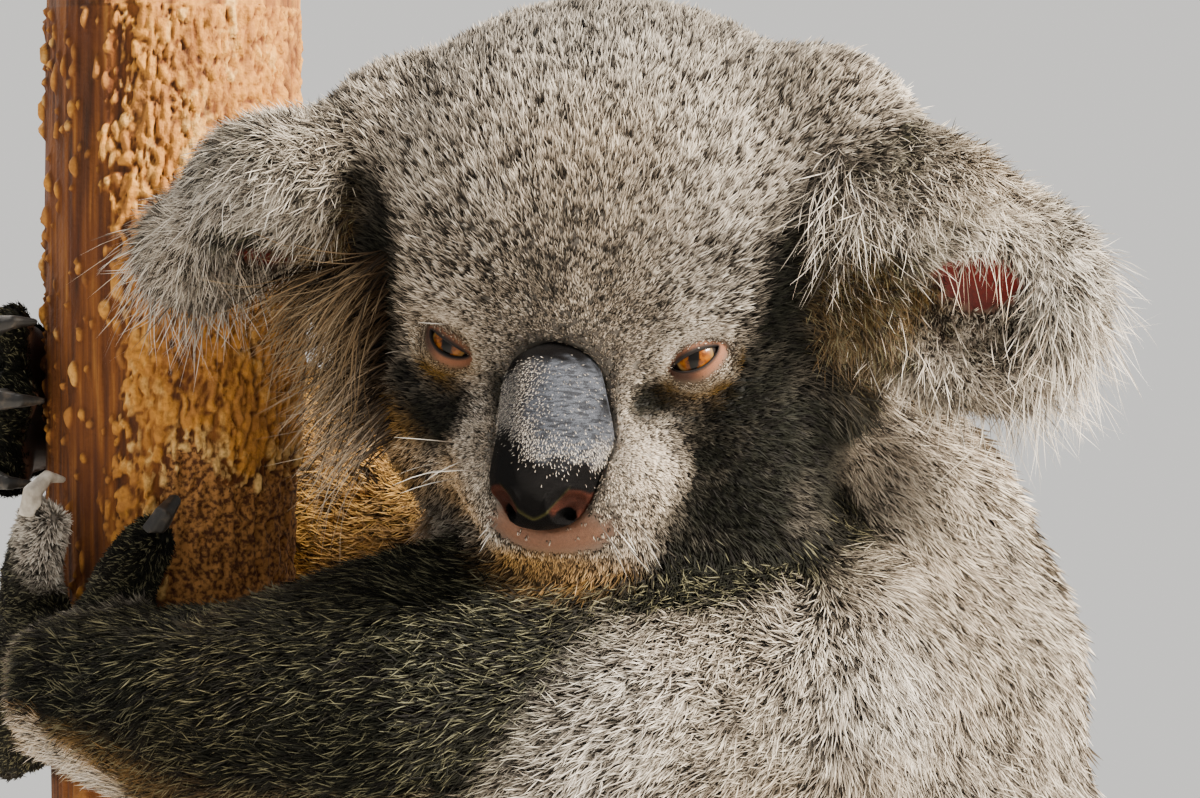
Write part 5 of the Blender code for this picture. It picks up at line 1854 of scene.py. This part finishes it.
for name, value, start, end, first, last in (
    ("old wood", clouds, 0.45, 0.65, 0.0, 0.5),
    ("light grains", grains, 0.36, 0.64, 0.0, 1.0),
    ("weathered_and_shaded", parts["Y"], 0.46, 0.54, 0.0, 1.0),
    ("brown grains", grains, 0.35, 0.60, 0.55, 0.0),
    ("lumps", parts["X"], 0.12, 0.62, 0.0, 1.0),
):
    limits = {VALUE: value, LOW: start, HIGH: end, TO_LOW: first, TO_HIGH: last}
    amount[name] = add_node(tree, "MapRange", limits, 0, **SOFT)
# The colour of the band without crust is partly painted shade.
layer = {SHARE: amount["light grains"], FIRST: colour("4E2A12"), SECOND: colour("B27C42")}
weathered_and_shaded = add_node(tree, "Mix", layer, MIXED, **RGBA)
tops = add_node(tree, "ValToRGB", {0: parts["Y"]}, 0, stops=LUMP_TOPS)
layer = {SHARE: amount["brown grains"], FIRST: tops, SECOND: colour("8A5A20")}
tops = add_node(tree, "Mix", layer, MIXED, **RGBA)
bark = add_node(tree, "ValToRGB", {0: streaks}, 0, stops=WOOD)
for name, shade in (("old wood", colour("55290F")), ("weathered_and_shaded", weathered_and_shaded), ("lumps", tops)):
    layer = {SHARE: amount[name], FIRST: bark, SECOND: shade}
    bark = add_node(tree, "Mix", layer, MIXED, **RGBA)

# %% [markdown]
# On the sawn ends the growth rings are a sine of the distance from the trunk's middle, bent a
# little by the same clouds as the wood.

# %% Growth rings and relief
RING_MM, RING_WANDER = 2.856, 0.006
from_axis = add_node(tree, "VectorMath", {0: place, 1: (-TRUNK_X, 0, 0)}, 0, operation="ADD")
flat = add_node(tree, "VectorMath", {0: from_axis, 1: (1, 1, 0)}, 0, operation="MULTIPLY")
out = add_node(tree, "VectorMath", {0: flat}, "Value", operation="LENGTH")
bent = {0: clouds, 1: RING_WANDER, 2: out}
bent_out = add_node(tree, "Math", bent, 0, operation="MULTIPLY_ADD")
turns = {0: bent_out, 1: 2 * math.pi * scale_of(RING_MM)}
turns_out = add_node(tree, "Math", turns, 0, operation="MULTIPLY")
wave = add_node(tree, "Math", {0: turns_out}, 0, operation="SINE")
late_wood = add_node(tree, "MapRange", {VALUE: wave, LOW: -0.4, HIGH: 1.0}, 0, **SOFT)
layer = {SHARE: late_wood, FIRST: colour("D8B583"), SECOND: colour("A87A48")}
sawn = add_node(tree, "Mix", layer, MIXED, **RGBA)
bark = add_node(tree, "Mix", {SHARE: parts["Z"], FIRST: bark, SECOND: sawn}, MIXED, **RGBA)
tree.links.new(bark, shader.inputs["Base Color"])
height = add_node(tree, "Mix", {SHARE: 0.5, FIRST: grains, SECOND: streaks}, MIXED, **RGBA)
relief = {"Height": height, "Strength": 0.8, "Distance": 0.0014}
tree.links.new(add_node(tree, "Bump", relief, 0), shader.inputs["Normal"])
print("nodes in the bark's material:", len(tree.nodes))

# %% Make the trunk
trunk = new_piece("trunk_bark", np.concatenate(all_points), np.concatenate(faces), bark_material)
write_field(trunk.data, "bark", np.concatenate([side_marks, end_marks]))
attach(trunk, "root")
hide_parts("perch")
print("trunk faces:", len(trunk.data.polygons))

# %% [markdown]
# ## Claws
#
# A real claw is horn: layered lengthwise, dark, and paler and slightly see-through at the tip.
# Here the horn is dark with noise for its layers, and the one claw that catches the light is
# pale all over, as painted light.

# %% Claw horn
LAYER_MM, SCRATCH_MM = 3.125, 0.6667
HORN = {
    "dark": ((0.30, "0C0A09"), (0.55, "1E1A16"), (0.75, "4A3F33")),
    # The pale horn is painted light, for the claw that catches the light.
    "pale": ((0.30, "8F867A"), (0.55, "BDB4A6"), (0.75, "DDD6CA")),
}
claw_material, tree, shader = new_material(
    "claw_horn", Roughness=0.48, IOR=1.55, Specular_IOR_Level=0.35
)
place = add_node(tree, "TexCoord", {}, "Object")
pattern = {"Vector": place, "Scale": scale_of(LAYER_MM), "Detail": 6.0}
layers = add_node(tree, "TexNoise", pattern, 0)
dark_horn = add_node(tree, "ValToRGB", {0: layers}, 0, stops=HORN["dark"])
pale_horn = add_node(tree, "ValToRGB", {0: layers}, 0, stops=HORN["pale"])
painted_light_share = add_node(tree, "Attribute", {}, "Fac", attribute_name="pale_horn")
layer = {SHARE: painted_light_share, FIRST: dark_horn, SECOND: pale_horn}
horn = add_node(tree, "Mix", layer, MIXED, **RGBA)
tree.links.new(horn, shader.inputs["Base Color"])
pattern = {"Vector": place, "Scale": scale_of(SCRATCH_MM), "Detail": 3.0}
scratches = add_node(tree, "TexNoise", pattern, 0)
relief = {"Height": scratches, "Strength": 0.25, "Distance": 0.0002}
tree.links.new(add_node(tree, "Bump", relief, 0), shader.inputs["Normal"])
print("nodes in the horn's material:", len(tree.nodes))

# %% Make the claws
PAINTED_LIGHT_CLAW = "claw_hand_left_first"  # the one that catches the light before the bark; its pale horn is painted light
claw_names = sorted(name for name in nodes if name.startswith("claw_"))
for name in claw_names:
    mesh = remeshed(name + "_horn", welded(name, 0.0002), 0.0005, 5)
    claw = new_piece(name + "_horn", points_of(mesh), triangles_of(mesh), claw_material)
    painted_light_amount = 0.85 if name == PAINTED_LIGHT_CLAW else 0.0
    write_field(claw.data, "pale_horn", np.full((len(claw.data.vertices), 3), painted_light_amount))
    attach(claw, "root")
    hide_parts(name)
print("claws:", len(claw_names))

# %% [markdown]
# ## The stand
#
# The base is a dark-stained board with a satin lacquer, and the rod is turned steel. Both keep
# the solids' own shape.

# %% Stained board
BOARD_MM, LATHE_MM = (111, 3.125, 3.125), (50, 50, 0.4)  # how far apart the lines are, by axis
board_material, tree, shader = new_material(
    "stained_board", Roughness=0.42, IOR=1.5, Coat_Weight=0.3, Coat_Roughness=0.25
)
place = add_node(tree, "TexCoord", {}, "Object")
stretch = {"Vector": place, "Scale": scale_of(*BOARD_MM)}
pattern = {"Vector": add_node(tree, "Mapping", stretch, 0), "Scale": 1.0, "Detail": 8.0}
board_grain = add_node(tree, "TexNoise", pattern, 0)
stain = ((0.30, "211D1A"), (0.50, "3B342E"), (0.70, "574A3E"))
board_colour = add_node(tree, "ValToRGB", {0: board_grain}, 0, stops=stain)
tree.links.new(board_colour, shader.inputs["Base Color"])
relief = {"Height": board_grain, "Strength": 0.2, "Distance": 0.0004}
tree.links.new(add_node(tree, "Bump", relief, 0), shader.inputs["Normal"])
print("nodes in the board's material:", len(tree.nodes))

# %% Turned steel
steel_material, tree, shader = new_material("turned_steel", Metallic=1.0, Roughness=0.32)
place = add_node(tree, "TexCoord", {}, "Object")
stretch = {"Vector": place, "Scale": scale_of(*LATHE_MM)}
pattern = {"Vector": add_node(tree, "Mapping", stretch, 0), "Scale": 1.0, "Detail": 2.0}
lathe_lines = add_node(tree, "TexNoise", pattern, 0)
layer = {SHARE: lathe_lines, FIRST: colour("7D8084"), SECOND: colour("B4B6B9")}
steel_colour = add_node(tree, "Mix", layer, MIXED, **RGBA)
tree.links.new(steel_colour, shader.inputs["Base Color"])
relief = {"Height": lathe_lines, "Strength": 0.15, "Distance": 0.0001}
tree.links.new(add_node(tree, "Bump", relief, 0), shader.inputs["Normal"])
print("nodes in the steel's material:", len(tree.nodes))

# %% Finish the stand
for name, material in (("stand_base", board_material), ("stand_rod", steel_material)):
    nodes[name].data.materials.clear()
    nodes[name].data.materials.append(material)
print("stand finished")

# %% [markdown]
# ## Floor, light and camera
#
# A plain pale floor and surround give soft light, and one large lamp stands for the sun. The
# camera is level with the face, far away and with a long lens.

# %% The floor
FLOOR_RADIUS = 7.0
FLOOR_BOX_MM, FLOOR_CLOUD_MM = 14000, 467  # the paint's tone wanders half a metre at a time
floor_forms = bmesh.new()
bmesh.ops.create_circle(floor_forms, cap_ends=True, segments=96, radius=FLOOR_RADIUS)
floor_mesh = bpy.data.meshes.new("floor")
floor_forms.to_mesh(floor_mesh)
floor_forms.free()
floor = bpy.data.objects.new("floor", floor_mesh)
floor.location.z = -0.0002
bpy.context.scene.collection.objects.link(floor)
floor_material, tree, shader = new_material("matt_paint", Roughness=0.8)
paint = add_node(tree, "TexNoise", {"Scale": FLOOR_BOX_MM / FLOOR_CLOUD_MM, "Detail": 3.0}, 0)
layer = {SHARE: paint, FIRST: colour("D9D7D3"), SECOND: colour("DFDDD9")}
paint_colour = add_node(tree, "Mix", layer, MIXED, **RGBA)
tree.links.new(paint_colour, shader.inputs["Base Color"])
floor_mesh.materials.append(floor_material)
print("floor radius in metres:", FLOOR_RADIUS)

# %% Light
world = bpy.data.worlds.new("pale_surround")
world.use_nodes = True
world.node_tree.nodes["Background"].inputs["Color"].default_value = colour("EFEDE9")
world.node_tree.nodes["Background"].inputs["Strength"].default_value = 1.05
bpy.context.scene.world = world


def add_lamp(name, power, size, place, aim, code):
    """A square lamp at a place, aimed at a point."""
    light = bpy.data.lights.new(name, "AREA")
    light.energy = power
    light.size = size
    light.color = colour(code)[:3]
    lamp = bpy.data.objects.new(name, light)
    lamp.location = place
    lamp.rotation_euler = (Vector(aim) - Vector(place)).to_track_quat("-Z", "Y").to_euler()
    bpy.context.scene.collection.objects.link(lamp)


AIM = (0.0, 0.0, 0.45)
add_lamp("key", 340, 0.50, (1.75, -1.00, 1.95), AIM, "FFF3E2")
add_lamp("rim", 30, 0.8, (-1.2, 1.2, 1.8), AIM, "FFF6EA")
print("lamps: key and rim")

# %% The camera
CAMERA_PLACE = (0.0, -2.525, 0.5319)
LENS, SENSOR = 261.8, 36.0
camera_data = bpy.data.cameras.new("camera")
camera_data.lens = LENS
camera_data.sensor_width = SENSOR
camera = bpy.data.objects.new("camera", camera_data)
camera.location = CAMERA_PLACE
camera.rotation_euler = (math.radians(90), 0, 0)
bpy.context.scene.collection.objects.link(camera)
bpy.context.scene.camera = camera
print("camera at", CAMERA_PLACE)
